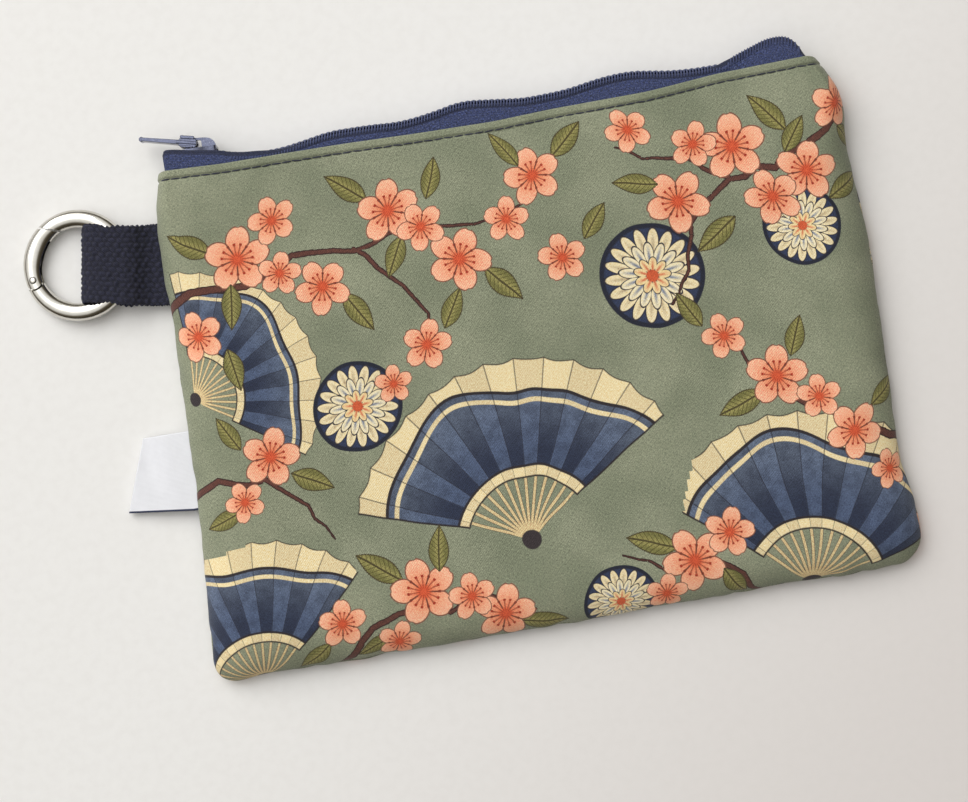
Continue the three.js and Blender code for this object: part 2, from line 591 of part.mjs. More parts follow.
// The label tab: a ribbon folded askew, so that its lower edge reaches further than its upper one
function labelTag() {
  const gap = LABEL;
  const half = gap / 2 + LABEL;
  const section = new THREE.Shape();
  section.moveTo(LABEL_ROOT, -half);
  section.lineTo(LABEL_ROOT, -gap / 2);
  section.lineTo(-LABEL_BOTTOM_REACH + half, -gap / 2);
  section.absarc(-LABEL_BOTTOM_REACH + half, 0, gap / 2, -Math.PI / 2, Math.PI / 2, true);
  section.lineTo(LABEL_ROOT, gap / 2);
  section.lineTo(LABEL_ROOT, half);
  section.lineTo(-LABEL_BOTTOM_REACH + half, half);
  section.absarc(-LABEL_BOTTOM_REACH + half, 0, half, Math.PI / 2, 1.5 * Math.PI, false);
  const geometry = extrude(section, LABEL_WIDTH, 6, ACROSS_LOOP);
  const place = geometry.attributes.position;
  for (let i = 0; i < place.count; i += 1) {
    const down = -place.getY(i) / LABEL_WIDTH;
    const x = place.getX(i);
    const reach = THREE.MathUtils.lerp(LABEL_TOP_REACH, LABEL_BOTTOM_REACH, down);
    const out = Math.max(-x, 0) / LABEL_BOTTOM_REACH;
    place.setX(i, x < 0 ? (x * reach) / LABEL_BOTTOM_REACH : x);
    place.setZ(i, place.getZ(i) - LABEL_DROOP * smooth(0.2, 1, out));
  }
  const y = LABEL_TOP_Y;
  return geometry.translate(-halfWidth(y) - SEAT_GAP, y, SEAM_HEIGHT);
}

function material(colour, roughness, metalness = 0) {
  return new THREE.MeshStandardMaterial({ color: colour, roughness, metalness });
}

function named(name, geometry, finish) {
  const mesh = new THREE.Mesh(geometry, finish);
  mesh.name = name;
  return mesh;
}

const print = material(COLOURS.print, 0.9);
const liningCloth = material(COLOURS.lining, 0.9);
const tapeCloth = material(COLOURS.tape, 0.85);
const nylon = material(COLOURS.coil, 0.45);
const paintedMetal = material(COLOURS.slider, 0.4, 0.6);
const nickel = material(COLOURS.nickel, 0.15, 1);
const webbingCloth = material(COLOURS.webbing, 0.95);
const satin = material(COLOURS.label, 0.5);

const pouch = new THREE.Group();
pouch.add(
  named('front_panel', outerPanel(PANELS.front), print),
  named('back_panel', outerPanel(PANELS.back), print),
  named('lining_front', lining(PANELS.front), liningCloth),
  named('lining_back', lining(PANELS.back), liningCloth),
  named('zip_tape_front', zipTape(1), tapeCloth),
  named('zip_tape_back', zipTape(-1), tapeCloth),
  named('zip_coil_front', zipCoil(1), nylon),
  named('zip_coil_back', zipCoil(-1), nylon),
  named('slider_body', sliderBody(), paintedMetal),
  named('slider_pull', sliderPull(), paintedMetal),
  named('label_tag', labelTag(), satin),
);

const loop = new THREE.Group();
loop.position.set(LOOP_X, LOOP_Y, 0);
loop.rotation.z = radians(LOOP_TURN_DEG);
loop.add(named('webbing_loop', webbingLoop(), webbingCloth));
pouch.add(loop);

// The ring lies in the loop and leans down to the table on its far side
const ring = new THREE.Group();
ring.rotation.y = RING_TILT;
ring.position.set(
  LOOP_AXIS_X - RING_RADIUS * Math.cos(RING_TILT),
  0,
  RING_FLOOR_Z + RING_RADIUS * Math.sin(RING_TILT),
);
ring.add(
  named('ring_body', ringBody(), nickel),
  named('ring_gate', ringGate(), nickel),
  named('gate_pin', gatePin(), nickel),
  named('gate_spring', gateSpring(), nickel),
);
loop.add(ring);

export default pouch;
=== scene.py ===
import math

import bmesh
import bpy
import numpy as np
from mathutils import Matrix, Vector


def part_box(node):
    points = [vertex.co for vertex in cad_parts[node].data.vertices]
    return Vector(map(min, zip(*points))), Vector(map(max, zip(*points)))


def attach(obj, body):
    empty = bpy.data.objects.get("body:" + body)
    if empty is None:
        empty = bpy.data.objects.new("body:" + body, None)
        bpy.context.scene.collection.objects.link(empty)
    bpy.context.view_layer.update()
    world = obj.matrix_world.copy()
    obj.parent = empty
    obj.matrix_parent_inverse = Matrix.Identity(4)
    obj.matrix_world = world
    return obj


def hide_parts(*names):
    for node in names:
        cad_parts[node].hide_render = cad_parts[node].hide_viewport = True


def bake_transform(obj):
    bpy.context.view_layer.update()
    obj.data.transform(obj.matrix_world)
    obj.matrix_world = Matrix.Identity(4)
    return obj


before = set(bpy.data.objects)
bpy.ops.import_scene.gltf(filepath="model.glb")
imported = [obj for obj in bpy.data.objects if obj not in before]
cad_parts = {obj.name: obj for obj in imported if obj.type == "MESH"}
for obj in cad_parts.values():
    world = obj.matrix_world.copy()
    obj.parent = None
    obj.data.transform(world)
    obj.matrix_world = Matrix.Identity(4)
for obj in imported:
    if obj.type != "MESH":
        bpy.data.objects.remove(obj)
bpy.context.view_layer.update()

bl_info = {
    "name": "Flat zipped pouch",
    "version": (1, 0, 0),
    "blender": (4, 5, 0),
    "location": "View3D > Sidebar > Pouch",
    "description": "Builds the cloth, zip, webbing, label and ring of a flat zipped pouch",
    "category": "Add Mesh",
}

MM = 0.001

# The cloth body, as it is in the frame
BACK_LOW, BACK_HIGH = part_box("back_panel")
BOTTOM_Y = BACK_LOW.y
FOLD_Y = BACK_HIGH.y
ZIP_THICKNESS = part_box("front_panel")[1].z
ZIP_MID_Z = ZIP_THICKNESS / 2
BOTTOM_WIDTH = 184 * MM
SHOULDER_WIDTH = 181 * MM
ZIP_EDGE_WIDTH = 171 * MM
SHOULDER_HEIGHT = 15 * MM
CORNER_RADIUS = 7 * MM
SEAM_HEIGHT = 2.6 * MM
FRONT_ROLL = 13 * MM
BACK_ROLL = 8 * MM
ZIP_EDGE_ROLL = 3 * MM
LOWER_THICKNESS = 9.2 * MM
SEAT_GAP = 0.3 * MM
CLOTH = 0.9 * MM
LINING_INSET = 7 * MM
TOPSTITCH_BELOW_FOLD = 2.35 * MM
FOOT_SHARE = 0.12
SIDE_SHARE = 0.2
RELIEF_SEED = {1: 11, -1: 23}

# The zip
TAPE_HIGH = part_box("zip_tape_front")[1]
TAPE_TOP_Y = TAPE_HIGH.y
TAPE_END_X = TAPE_HIGH.x
TAPE = 0.4 * MM
TAPE_OUTSIDE = TAPE_HIGH.z - ZIP_MID_Z
ZIP_LEFT = -84.2 * MM
ZIP_RIGHT = 83.8 * MM
COIL_LOW, COIL_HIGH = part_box("zip_coil_front")
COIL_PITCH = 1.54 * MM
COIL_WIDTH = 1.95 * MM
COIL_MESH = 0.5 * MM

# The pull turns on a pin under the slider's bail
PULL_PIN_AT = (-76.4 * MM, 72.0 * MM)
PULL_REACH = 14.1 * MM
PULL_HALF_WIDTH = 2.3 * MM
PULL_LIFT = math.radians(13.5)

# The webbing loop and its ring. The loop's own frame has its origin where it leaves the seam.
LOOP_AT = (-90.8 * MM, FOLD_Y - 22.9 * MM, 0.0)
LOOP_TURN = math.radians(-9)
LOOP_LENGTH = 19.8 * MM
LOOP_AXIS_X = -8.6 * MM
WEBBING = 1.25 * MM
RING_WIRE = 4 * MM
RING_BROAD = 4.7 * MM
RING_RADIUS = 12.2 * MM
RING_FLOOR_Z = 3.85 * MM
RING_TILT = -math.asin((RING_FLOOR_Z - RING_WIRE / 2) / (2 * RING_RADIUS))
GATE_GAP = 1.5 * SEAT_GAP
LATCH_DEG = 128.5
LATCH_SLANT_DEG = 171.4
GATE_TO_DEG = 212
GATE_PIN_DEG = 199

# The folded label tab
LABEL_LOW, LABEL_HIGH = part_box("label_tag")
LABEL_TOP_Y = LABEL_HIGH.y
LABEL_WIDTH = LABEL_HIGH.y - LABEL_LOW.y


# Curves of one or two numbers

def smooth(value, low, high):
    """0 below low, 1 above high, and an S curve between them."""
    t = np.clip((value - low) / (high - low), 0, 1)
    return t * t * (3 - 2 * t)


def through(points, value):
    """A curve through (place, height) points in millimetres, given and returned in metres. The line
    from point to point is rounded by averaging it over 5 mm on each side."""
    place, height = np.array(points, float).T * MM
    spread = np.linspace(-5, 5, 11) * MM
    weight = np.cos(spread / (11 * MM) * math.pi) ** 2
    return sum(w * np.interp(value + s, place, height) for s, w in zip(spread, weight)) / weight.sum()


def averaged(points, value, reach, count):
    """A line through (place, height) points in millimetres, given and returned in metres, and
    rounded by taking its mean at some places within a reach on each side."""
    place, height = np.array(points).T * MM
    spread = np.linspace(-reach, reach, count) * MM
    return np.mean([np.interp(value + s, place, height) for s in spread], 0)


def rotated(angle, a, b):
    """The two numbers of a place in a plane after a turn about the middle."""
    c, s = math.cos(angle), math.sin(angle)
    return c * a - s * b, s * a + c * b


def ripple(x, y, wavelength, seed, waves=6):
    """Soft uneven waves: a sum of sines of seeded directions and phases, about 1 high."""
    rng = np.random.default_rng(seed)
    total = 0
    for _ in range(waves):
        turn, phase = rng.uniform(0, math.tau), rng.uniform(0, math.tau)
        length = wavelength * rng.uniform(0.7, 1.5)
        total = total + np.sin((x * math.cos(turn) + y * math.sin(turn)) * math.tau / length + phase)
    return total / math.sqrt(waves / 2)


def unit(vectors):
    """The vectors scaled to a length of 1."""
    return vectors / np.maximum(np.linalg.norm(vectors, axis=-1, keepdims=True), 1e-12)


# Meshes from arrays

def new_piece(name, points, faces, material, body, smooth_faces=True):
    """A mesh object at the origin, with its place in its vertices. It rides on a body if one is named."""
    mesh = bpy.data.meshes.new(name)
    points = np.ascontiguousarray(points, np.float32).reshape(-1, 3)
    faces = [np.asarray(f, np.int32) for f in faces]
    counts = np.concatenate([np.full(len(f), f.shape[1], np.int32) for f in faces])
    mesh.vertices.add(len(points))
    mesh.vertices.foreach_set("co", points.ravel())
    mesh.loops.add(int(counts.sum()))
    mesh.loops.foreach_set("vertex_index", np.concatenate([f.ravel() for f in faces]))
    mesh.polygons.add(len(counts))
    starts = np.concatenate([[0], np.cumsum(counts)[:-1]]).astype(np.int32)
    mesh.polygons.foreach_set("loop_start", starts)
    mesh.polygons.foreach_set("use_smooth", np.full(len(counts), smooth_faces))
    mesh.update(calc_edges=True)
    mesh.validate()
    mesh.materials.append(material)
    piece = bpy.data.objects.new(name, mesh)
    bpy.context.scene.collection.objects.link(piece)
    if body:
        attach(piece, body)
    return piece


def grid_faces(rows, columns, wrap=False):
    """Quads between neighbouring points of a grid. wrap joins the last column to the first."""
    across = columns if wrap else columns - 1
    r, c = np.meshgrid(np.arange(rows - 1), np.arange(across), indexing="ij")
    n = (c + 1) % columns
    quads = np.stack([r * columns + c, r * columns + n, (r + 1) * columns + n, (r + 1) * columns + c], -1)
    return quads.reshape(-1, 4)


def facing_out(points, faces):
    """The faces with their turn chosen so that the closed shell's signed volume is positive."""
    points = np.asarray(points).reshape(-1, 3)
    volume = 0
    for f in faces:
        f = np.asarray(f)
        for k in range(1, f.shape[1] - 1):
            a, b, c = points[f[:, 0]], points[f[:, k]], points[f[:, k + 1]]
            volume += np.einsum("ij,ij->i", a, np.cross(b, c)).sum()
    return faces if volume > 0 else [np.asarray(f)[:, ::-1] for f in faces]


def shell(outer, inner):
    """A closed shell from an outer and an inner grid of the same size: both faces and their rim."""
    rows, columns = outer.shape[:2]
    count = rows * columns
    faces = grid_faces(rows, columns)
    index = np.arange(count).reshape(rows, columns)
    loop = np.concatenate([index[0, :-1], index[:-1, -1], index[-1, :0:-1], index[:0:-1, 0]])
    after = np.roll(loop, -1)
    rim = np.stack([after, loop, loop + count, after + count], -1)
    points = np.concatenate([outer.reshape(-1, 3), inner.reshape(-1, 3)])
    return points, facing_out(points, [np.concatenate([faces, faces[:, ::-1] + count, rim])])


def rings_round(centres, out, up, radius, sides, flat=1.0):
    """Rings of points round a path: centre + radius (cos a out + flat sin a up) at each point."""
    turn = np.arange(sides) * math.tau / sides
    around = np.cos(turn)[:, None] * out[..., None, :] + flat * np.sin(turn)[:, None] * up[..., None, :]
    return centres[..., None, :] + np.asarray(radius)[..., None, None] * around


def many_tubes(sections):
    """One mesh of many like closed tubes with flat caps, from (tubes, sections, sides, 3) points."""
    tubes, count, sides = sections.shape[:3]
    one = grid_faces(count, sides, wrap=True)
    caps = np.stack([np.arange(sides)[::-1], (count - 1) * sides + np.arange(sides)])
    points = sections.reshape(-1, 3)
    one, caps = facing_out(points[:count * sides], [one, caps])
    step = (np.arange(tubes) * count * sides)[:, None, None]
    return points, [(one[None] + step).reshape(-1, 4), (caps[None] + step).reshape(-1, sides)]


def tube(sections):
    """A closed tube with a flat cap on each end, from (sections, sides, 3) rings of points."""
    return many_tubes(sections[None])


def joined(shells):
    """Several closed shells as the points and faces of one mesh."""
    points, faces, first = [], [], 0
    for vertices, parts in shells:
        points.append(np.asarray(vertices).reshape(-1, 3))
        faces += [np.asarray(f) + first for f in parts]
        first += len(points[-1])
    return np.concatenate(points), faces


def round_box(left, right, low, high, radius):
    """The outline of a box with round corners, in (x, y)."""
    centres = [(right - radius, high - radius), (left + radius, high - radius),
               (left + radius, low + radius), (right - radius, low + radius)]
    outline = []
    for quarter, (x, y) in enumerate(centres):
        a = np.linspace(0, math.pi / 2, 5) + quarter * math.pi / 2
        outline.append(np.stack([x + radius * np.cos(a), y + radius * np.sin(a)], -1))
    return np.concatenate(outline)


def prism(outline, low_z, high_z):
    """A closed prism from an (x, y) outline between two heights."""
    heights = [np.full((len(outline), 1), z) for z in (low_z, high_z)]
    return tube(np.stack([np.concatenate([outline, height], 1) for height in heights]))


def bezier(a, b, c, d, count):
    """Points of a cubic curve from a to d with handles b and c, without its first point."""
    t = np.linspace(0, 1, count + 1)[1:, None]
    a, b, c, d = (np.array(p, float) for p in (a, b, c, d))
    return (1 - t) ** 3 * a + 3 * (1 - t) ** 2 * t * b + 3 * (1 - t) * t * t * c + t ** 3 * d


def set_uv(piece, values):
    """The UV map "cloth" from one (u, v) pair a vertex."""
    mesh = piece.data
    corner = np.empty(len(mesh.loops), np.int32)
    mesh.loops.foreach_get("vertex_index", corner)
    layer = mesh.uv_layers.new(name="cloth")
    layer.data.foreach_set("uv", np.asarray(values, np.float32)[corner].ravel())


# The cloth's form

def half_width(y):
    """Half the body's width at a height: straight sides, round lower corners, slanting shoulders."""
    rise = np.clip((y - BOTTOM_Y) / (FOLD_Y - BOTTOM_Y - SHOULDER_HEIGHT), 0, 1)
    half = (BOTTOM_WIDTH + (SHOULDER_WIDTH - BOTTOM_WIDTH) * rise) / 2
    shoulder = smooth(y, FOLD_Y - SHOULDER_HEIGHT, FOLD_Y + SHOULDER_HEIGHT)
    half = half - (SHOULDER_WIDTH - ZIP_EDGE_WIDTH) * shoulder
    corner = np.clip(CORNER_RADIUS - (y - BOTTOM_Y), 0, CORNER_RADIUS)
    return half - CORNER_RADIUS + np.sqrt(CORNER_RADIUS ** 2 - corner ** 2)


# How far each edge bows, in millimetres: (place along the edge, move)
LEFT_LEAN = [(-68, -1.9), (-60, -0.6), (-50, -0.2), (-37, 0.4), (-20, 1.4), (0, 1.5), (18, 1.5),
             (28, 1.9), (40, 1.2), (54, 1.4), (59, 0.6), (68, -1.6)]
RIGHT_LEAN = [(-66, 1.3), (-54, 1.8), (-47, 0.9), (-39, -0.4), (-10, 0.8), (16, 1.7), (28, 1.1),
              (40, 0.1), (46, 0.5), (55, 1.6), (60, 1.2), (68, 0.2)]
FOLD_LEAN = [(-90, 0.3), (-69, -0.5), (-41, -0.5), (-15, -1.0), (1, -1.1), (17, -0.4), (42, 0.1),
             (60, 1.7), (82, 2.5), (90, 2.5)]
BOTTOM_LEAN = [(-92, -2.5), (-86, -2.1), (-78, -1.2), (-55, -1.3), (0, -0.7), (40, 0.1), (60, 0.6),
               (71, 0.1), (82, 0.6), (92, 1.0)]


def lean(points):
    """The real cloth's unevenness: each side, the fold and the bottom edge bow a little, and a point
    between two edges moves by the mean of their moves, weighted by how near each is."""
    x, y = points[..., 0], points[..., 1]
    rise = np.clip((y - BOTTOM_Y) / (FOLD_Y - BOTTOM_Y), 0, 1)
    across = np.clip(x / np.maximum(half_width(y), 1e-4) / 2 + 0.5, 0, 1)
    moved = points.copy()
    moved[..., 0] += (1 - across) * through(LEFT_LEAN, y) + across * through(RIGHT_LEAN, y)
    moved[..., 1] += (1 - rise) * through(BOTTOM_LEAN, x) + rise * through(FOLD_LEAN, x)
    return moved


def seam_opening(side, y):
    """How far the side seam opens to take in the webbing and the label."""
    fade = 5 * MM

    def over(middle, half):
        low, high = middle - half, middle + half
        return smooth(y, low - fade, low) * (1 - smooth(y, high, high + fade))

    webbing = 1.4 * MM * over(LOOP_AT[1] - 0.5 * MM, 13.8 * MM)
    label = 0.75 * MM * over(LABEL_TOP_Y - LABEL_WIDTH / 2, LABEL_WIDTH / 2 + 4 * MM)
    return np.where(side < 0, np.maximum(webbing, label), 0)


def panel_surface(up, across, rise, inset=0.0):
    """One panel's outer face. across runs from -1 to 1 between the sides and rise from 0 at the
    bottom edge to 1 at the fold. Near an edge the surface is a quarter of an ellipse: theta runs
    from 0 at the side seam to 90 degrees on the flat, psi does the same from the bottom seam, and
    the height is seam + (top - seam) sin(theta) sin(psi). Gives points and outward normals."""
    quarter = math.pi / 2
    roll_y = FRONT_ROLL if up > 0 else BACK_ROLL
    psi = np.clip(rise / FOOT_SHARE, 0, 1) * quarter
    straight = np.clip((rise - FOOT_SHARE) / (1 - FOOT_SHARE), 0, 1)
    top_y = FOLD_Y - (2.5 * MM if inset > 0 else 0)
    roll_end = BOTTOM_Y + inset + roll_y
    y = np.where(rise > FOOT_SHARE, roll_end + (top_y - roll_end) * straight,
                 BOTTOM_Y + inset + roll_y * (1 - np.cos(psi)))
    roll = roll_y + (ZIP_EDGE_ROLL - roll_y) * smooth(y, FOLD_Y - 45 * MM, FOLD_Y)
    half = half_width(y - inset * (1 - straight)) - inset
    theta = np.clip((1 - np.abs(across)) / SIDE_SHARE, 0, 1) * quarter
    side = np.sign(across)
    x = np.where(np.abs(across) > 1 - SIDE_SHARE, side * (half - roll * (1 - np.cos(theta))),
                 across / (1 - SIDE_SHARE) * (half - roll))
    top = 0 * y
    if up > 0:
        top = LOWER_THICKNESS + (ZIP_THICKNESS - LOWER_THICKNESS) * smooth(y, BOTTOM_Y, FOLD_Y - 9 * MM)
    seam = SEAM_HEIGHT + up * (0.02 * MM + seam_opening(side, y))
    z = seam + (top - seam) * np.sin(theta) * np.sin(psi)
    normal = np.stack([side * np.cos(theta), -np.cos(psi), up * np.sin(theta) * np.sin(psi)], -1)
    return np.stack([x, y, z], -1), unit(normal)


def panel_grid(up, columns, rows, fine_rows=0, inset=0.0):
    """The (across, rise) grid of a panel, with fine_rows extra rows in the last 6 mm below the fold."""
    across = np.linspace(-1, 1, columns)
    rise = np.linspace(0, 1, rows)
    if fine_rows:
        from_here = 1 - 6 * MM / (FOLD_Y - BOTTOM_Y)
        fine = np.linspace(from_here, 1, fine_rows + 1)[1:]
        rise = np.concatenate([np.linspace(0, from_here, rows), fine])
    return panel_surface(up, *np.meshgrid(across, rise), inset=inset)


def hollows(points, seed):
    """The broad soft hollows of a panel, which its lining follows: two sizes of soft waves that die
    out towards the edges."""
    x, y = points[..., 0], points[..., 1]
    aside, above, below = half_width(y) - np.abs(x), y - BOTTOM_Y, FOLD_Y - y
    inner = smooth(aside, 0, 16 * MM) * smooth(above, 0, 16 * MM)
    return inner * (0.45 * MM * ripple(x, y, 62 * MM, seed) * smooth(below, 0, 20 * MM)
                    + 0.10 * MM * ripple(x, 0.6 * y, 17 * MM, seed + 1))


def gathers(x, seed):
    """The short waves that the row of topstitching draws up in the cloth."""
    return 0.12 * MM * ripple(x, 0 * x, 6.5 * MM, seed + 2)


def cloth_relief(points, seed):
    """How far the cloth stands proud of its form: broad soft hollows, a turned hem that ends in the
    sunk row of topstitching, and short puckers that fade away from the stitching and the seams."""
    x, y = points[..., 0], points[..., 1]
    below = FOLD_Y - y
    aside = half_width(y) - np.abs(x)
    above = y - BOTTOM_Y
    relief = hollows(points, seed)
    relief += 0.24 * MM * (1 - smooth(below, 1.6 * MM, 2.2 * MM))
    relief -= 0.26 * MM * np.exp(-((below - TOPSTITCH_BELOW_FOLD) / (0.4 * MM)) ** 2)
    gather = gathers(x, seed) * np.exp(-np.abs(below - 2.4 * MM) / (3 * MM))
    seam_side = 0.09 * MM * ripple(y, 0 * y, 8 * MM, seed + 3) * np.exp(-aside / (5 * MM))
    seam_foot = 0.16 * MM * ripple(x, 0 * x, 9 * MM, seed + 5) * np.exp(-above / (5 * MM))
    return relief + gather + seam_side + seam_foot


# Shader maths as Python expressions

class Number:
    """A number in a shader. Arithmetic on it adds the Math nodes that work it out."""

    def __init__(self, shader, socket):
        self.shader, self.socket = shader, socket

    def __add__(self, other):
        return self.shader.math("ADD", self, other)

    __radd__ = __add__

    def __sub__(self, other):
        return self.shader.math("SUBTRACT", self, other)

    def __rsub__(self, other):
        return self.shader.math("SUBTRACT", other, self)

    def __mul__(self, other):
        return self.shader.math("MULTIPLY", self, other)

    __rmul__ = __mul__

    def __truediv__(self, other):
        return self.shader.math("DIVIDE", self, other)

    def __lt__(self, other):
        return self.shader.math("LESS_THAN", self, other)

    def __abs__(self):
        return self.shader.math("ABSOLUTE", self)

    def sin(self):
        return self.shader.math("SINE", self)

    def cos(self):
        return self.shader.math("COSINE", self)

    def fraction(self):
        return self.shader.math("FRACT", self)

    def nearest(self):
        return self.shader.math("FLOOR", self + 0.5)

    def root(self):
        return self.shader.math("SQRT", self.shader.math("MAXIMUM", self, 0.0))

    def most(self, other):
        return self.shader.math("MAXIMUM", self, other)

    def least(self, other):
        return self.shader.math("MINIMUM", self, other)

    def rises(self, low, high):
        """0 below low, 1 above high, and an S curve between them. low may be the higher one."""
        node = self.shader.node(
            "ShaderNodeMapRange", {"interpolation_type": "SMOOTHSTEP", "clamp": True},
            {"Value": self, "From Min": min(low, high), "From Max": max(low, high),
             "To Min": 0.0 if low < high else 1.0, "To Max": 1.0 if low < high else 0.0})
        return Number(self.shader, node.outputs[0])


class Finish:
    """A node material with one Principled shader. Constants are set on the shader's own sockets."""

    def __init__(self, name, **constants):
        self.material = bpy.data.materials.new(name)
        self.material.use_nodes = True
        self.tree = self.material.node_tree
        self.tree.nodes.clear()
        self.surface = self.node("ShaderNodeBsdfPrincipled", inputs={
            key.replace("_", " "): value for key, value in constants.items()})
        self.node("ShaderNodeOutputMaterial", inputs={"Surface": self.surface.outputs[0]})

    def node(self, kind, settings=None, inputs=None):
        """Adds a node: its settings first, then a value or a link for each named socket."""
        node = self.tree.nodes.new(kind)
        for key, value in (settings or {}).items():
            setattr(node, key, value)
        for key, value in (inputs or {}).items():
            self.feed(node.inputs[key], value)
        return node

    def feed(self, socket, value):
        value = value.socket if isinstance(value, Number) else value
        if isinstance(value, bpy.types.NodeSocket):
            self.tree.links.new(value, socket)
        else:
            socket.default_value = value

    def math(self, operation, *values):
        node = self.node("ShaderNodeMath", {"operation": operation}, dict(enumerate(values)))
        return Number(self, node.outputs[0])

    def mix(self, factor, under, over, blend="MIX"):
        """over laid on under by a factor. Colours are (red, green, blue) or sockets."""
        under, over = ((*c, 1.0) if isinstance(c, tuple) and len(c) == 3 else c for c in (under, over))
        node = self.node("ShaderNodeMix", {"data_type": "RGBA", "blend_type": blend},
                         {0: factor, 6: under, 7: over})
        return node.outputs[2]

    def split(self, vector):
        node = self.node("ShaderNodeSeparateXYZ", inputs={0: vector})
        return [Number(self, socket) for socket in node.outputs]

    def join(self, x, y, z=0.0):
        return self.node("ShaderNodeCombineXYZ", inputs={0: x, 1: y, 2: z}).outputs[0]

    def place(self):
        """Object coordinates in millimetres."""
        place = self.node("ShaderNodeTexCoord").outputs["Object"]
        return self.node("ShaderNodeVectorMath", {"operation": "SCALE"}, {0: place, 3: 1 / MM}).outputs[0]

    def along_cloth(self):
        """The piece's own flat coordinates in millimetres, from its UV map."""
        return self.node("ShaderNodeUVMap", {"uv_map": "cloth"}).outputs[0]

    def stored(self, name):
        """The four numbers of a colour attribute."""
        node = self.node("ShaderNodeAttribute", {"attribute_name": name})
        return [*self.split(node.outputs["Vector"]), Number(self, node.outputs["Alpha"])]

    def noise(self, vector, scale, detail=2.0, rough=0.5):
        node = self.node("ShaderNodeTexNoise", {"noise_dimensions": "3D"},
                         {"Vector": vector, "Scale": scale, "Detail": detail, "Roughness": rough})
        return Number(self, node.outputs[0])

    def bump(self, height, distance, strength=1.0):
        """height is in parts of distance, which is in metres."""
        return self.node("ShaderNodeBump", inputs={
            "Strength": strength, "Distance": distance, "Height": height}).outputs[0]

    def finish(self, colour=None, roughness=None, normal=None, **others):
        """Feeds the surface's sockets with what was worked out for them."""
        values = {"Base Color": colour, "Roughness": roughness, "Normal": normal, **others}
        for name, value in values.items():
            if value is not None:
                self.feed(self.surface.inputs[name], value)
        return self.material


def paint(red, green, blue):
    """A colour as it shows on screen, 0 to 255, as the shader's own linear numbers."""
    def linear(value):
        value /= 255
        return value / 12.92 if value < 0.04045 else ((value + 0.055) / 1.055) ** 2.4
    return linear(red), linear(green), linear(blue)


def toned(colour, share, more=0.0):
    """A colour whose numbers are multiplied by a share, with a little more added to each."""
    return tuple(min(1, c * share + more) for c in colour)


def far(x, y):
    """How far (x, y) is from the middle."""
    return (x * x + y * y).root()


# Finishes

def woven(u, v, pitch):
    """A plain weave's height, -1 to 1: the product of two sines, one across each set of threads."""
    return (u * (math.pi / pitch)).sin() * (v * (math.pi / pitch)).sin()


def cloth_grain(ink, u, v, colour, strength):
    """Threads of slightly uneven tone: fine flecks drawn out along the warp and along the weft."""
    warp = ink.noise(ink.join(u * 5.2, v * 1.7), 1.0, 1.0)
    weft = ink.noise(ink.join(u * 1.7, v * 5.2, 7.0), 1.0, 1.0)
    fleck = (warp + weft - 1.0) * strength + 0.5
    grey = ink.node("ShaderNodeCombineColor", inputs={0: fleck, 1: fleck, 2: fleck}).outputs[0]
    return ink.mix(1.0, colour, grey, "OVERLAY")


def turned(ink, u, v, name):
    """A motif's own coordinates, from the nearest motif's centre, turn and size on each face."""
    cx, cy, turn, size = ink.stored(name)
    x, y = (u - cx) / size, (v - cy) / size
    c, s = turn.cos(), turn.sin()
    return x * c + y * s, y * c - x * s


def blossom(ink, under, u, v, name):
    """Five round petals. The angle is folded into one petal's sector, where the petal is an ellipse."""
    x, y = turned(ink, u, v, name)
    r = far(x, y)
    sector = math.tau / 5
    angle = ink.math("ARCTAN2", y, x)
    folded = angle - (angle / sector).nearest() * sector
    px, py = r * folded.cos(), r * folded.sin()
    notch = px.rises(0.86, 1.0) * abs(py).rises(0.10, 0.0) * 0.16
    edge = far((px - 0.56) / 0.43, py / 0.36) + notch
    inside = edge.rises(1.02, 0.98).most(r.rises(0.24, 0.22))
    between = r * (sector / 2 - abs(folded)).sin()
    line = edge.rises(0.88, 0.93) * r.rises(0.22, 0.30)
    line = line.most(between.rises(0.032, 0.012) * r.rises(0.16, 0.24))
    streaks = (folded * 46).sin().rises(0.1, 0.9) * r.rises(0.62, 0.22)
    colour = ink.mix(r.rises(0.95, 0.12), paint(246, 184, 150), paint(234, 140, 98))
    colour = ink.mix(streaks * 0.32, colour, paint(214, 92, 50))
    colour = ink.mix(r.rises(0.30, 0.12) * 0.8, colour, paint(206, 66, 26))
    rays = abs((angle * 7.5).sin())
    stamen = rays.rises(0.80, 0.95) * r.rises(0.06, 0.12) * r.rises(0.46, 0.40)
    colour = ink.mix(stamen * 0.75, colour, paint(150, 50, 28))
    anther = rays.rises(0.72, 0.86) * r.rises(0.40, 0.43) * r.rises(0.50, 0.47)
    colour = ink.mix(anther, colour, paint(160, 44, 20))
    colour = ink.mix(line * 0.9, colour, paint(104, 56, 42))
    return ink.mix(inside, under, colour)


def leaf(ink, under, u, v, name):
    """A pointed leaf: its half width at x is (1 - x^2) (0.44 - x / 10), with fine teeth along the
    edge and side veins that slant from its rib."""
    x, y = turned(ink, u, v, name)
    side = abs(y)
    teeth = abs((x * 34).sin()) * 0.025
    edge = (1.0 - x * x) * (0.44 - x * 0.10) + teeth - side
    inside = edge.rises(0.0, 0.02) * (abs(x) < 1.0)
    colour = ink.mix(side.rises(0.02, 0.30), paint(150, 143, 84), paint(116, 113, 62))
    vein = abs(((x - side * 0.9) * 5.0).fraction() - 0.5).rises(0.12, 0.05)
    colour = ink.mix(vein * side.rises(0.02, 0.06), colour, paint(84, 78, 34))
    colour = ink.mix(side.rises(0.05, 0.025), colour, paint(74, 66, 34))
    colour = ink.mix(edge.rises(0.075, 0.04), colour, paint(70, 60, 34))
    return ink.mix(inside, under, colour)


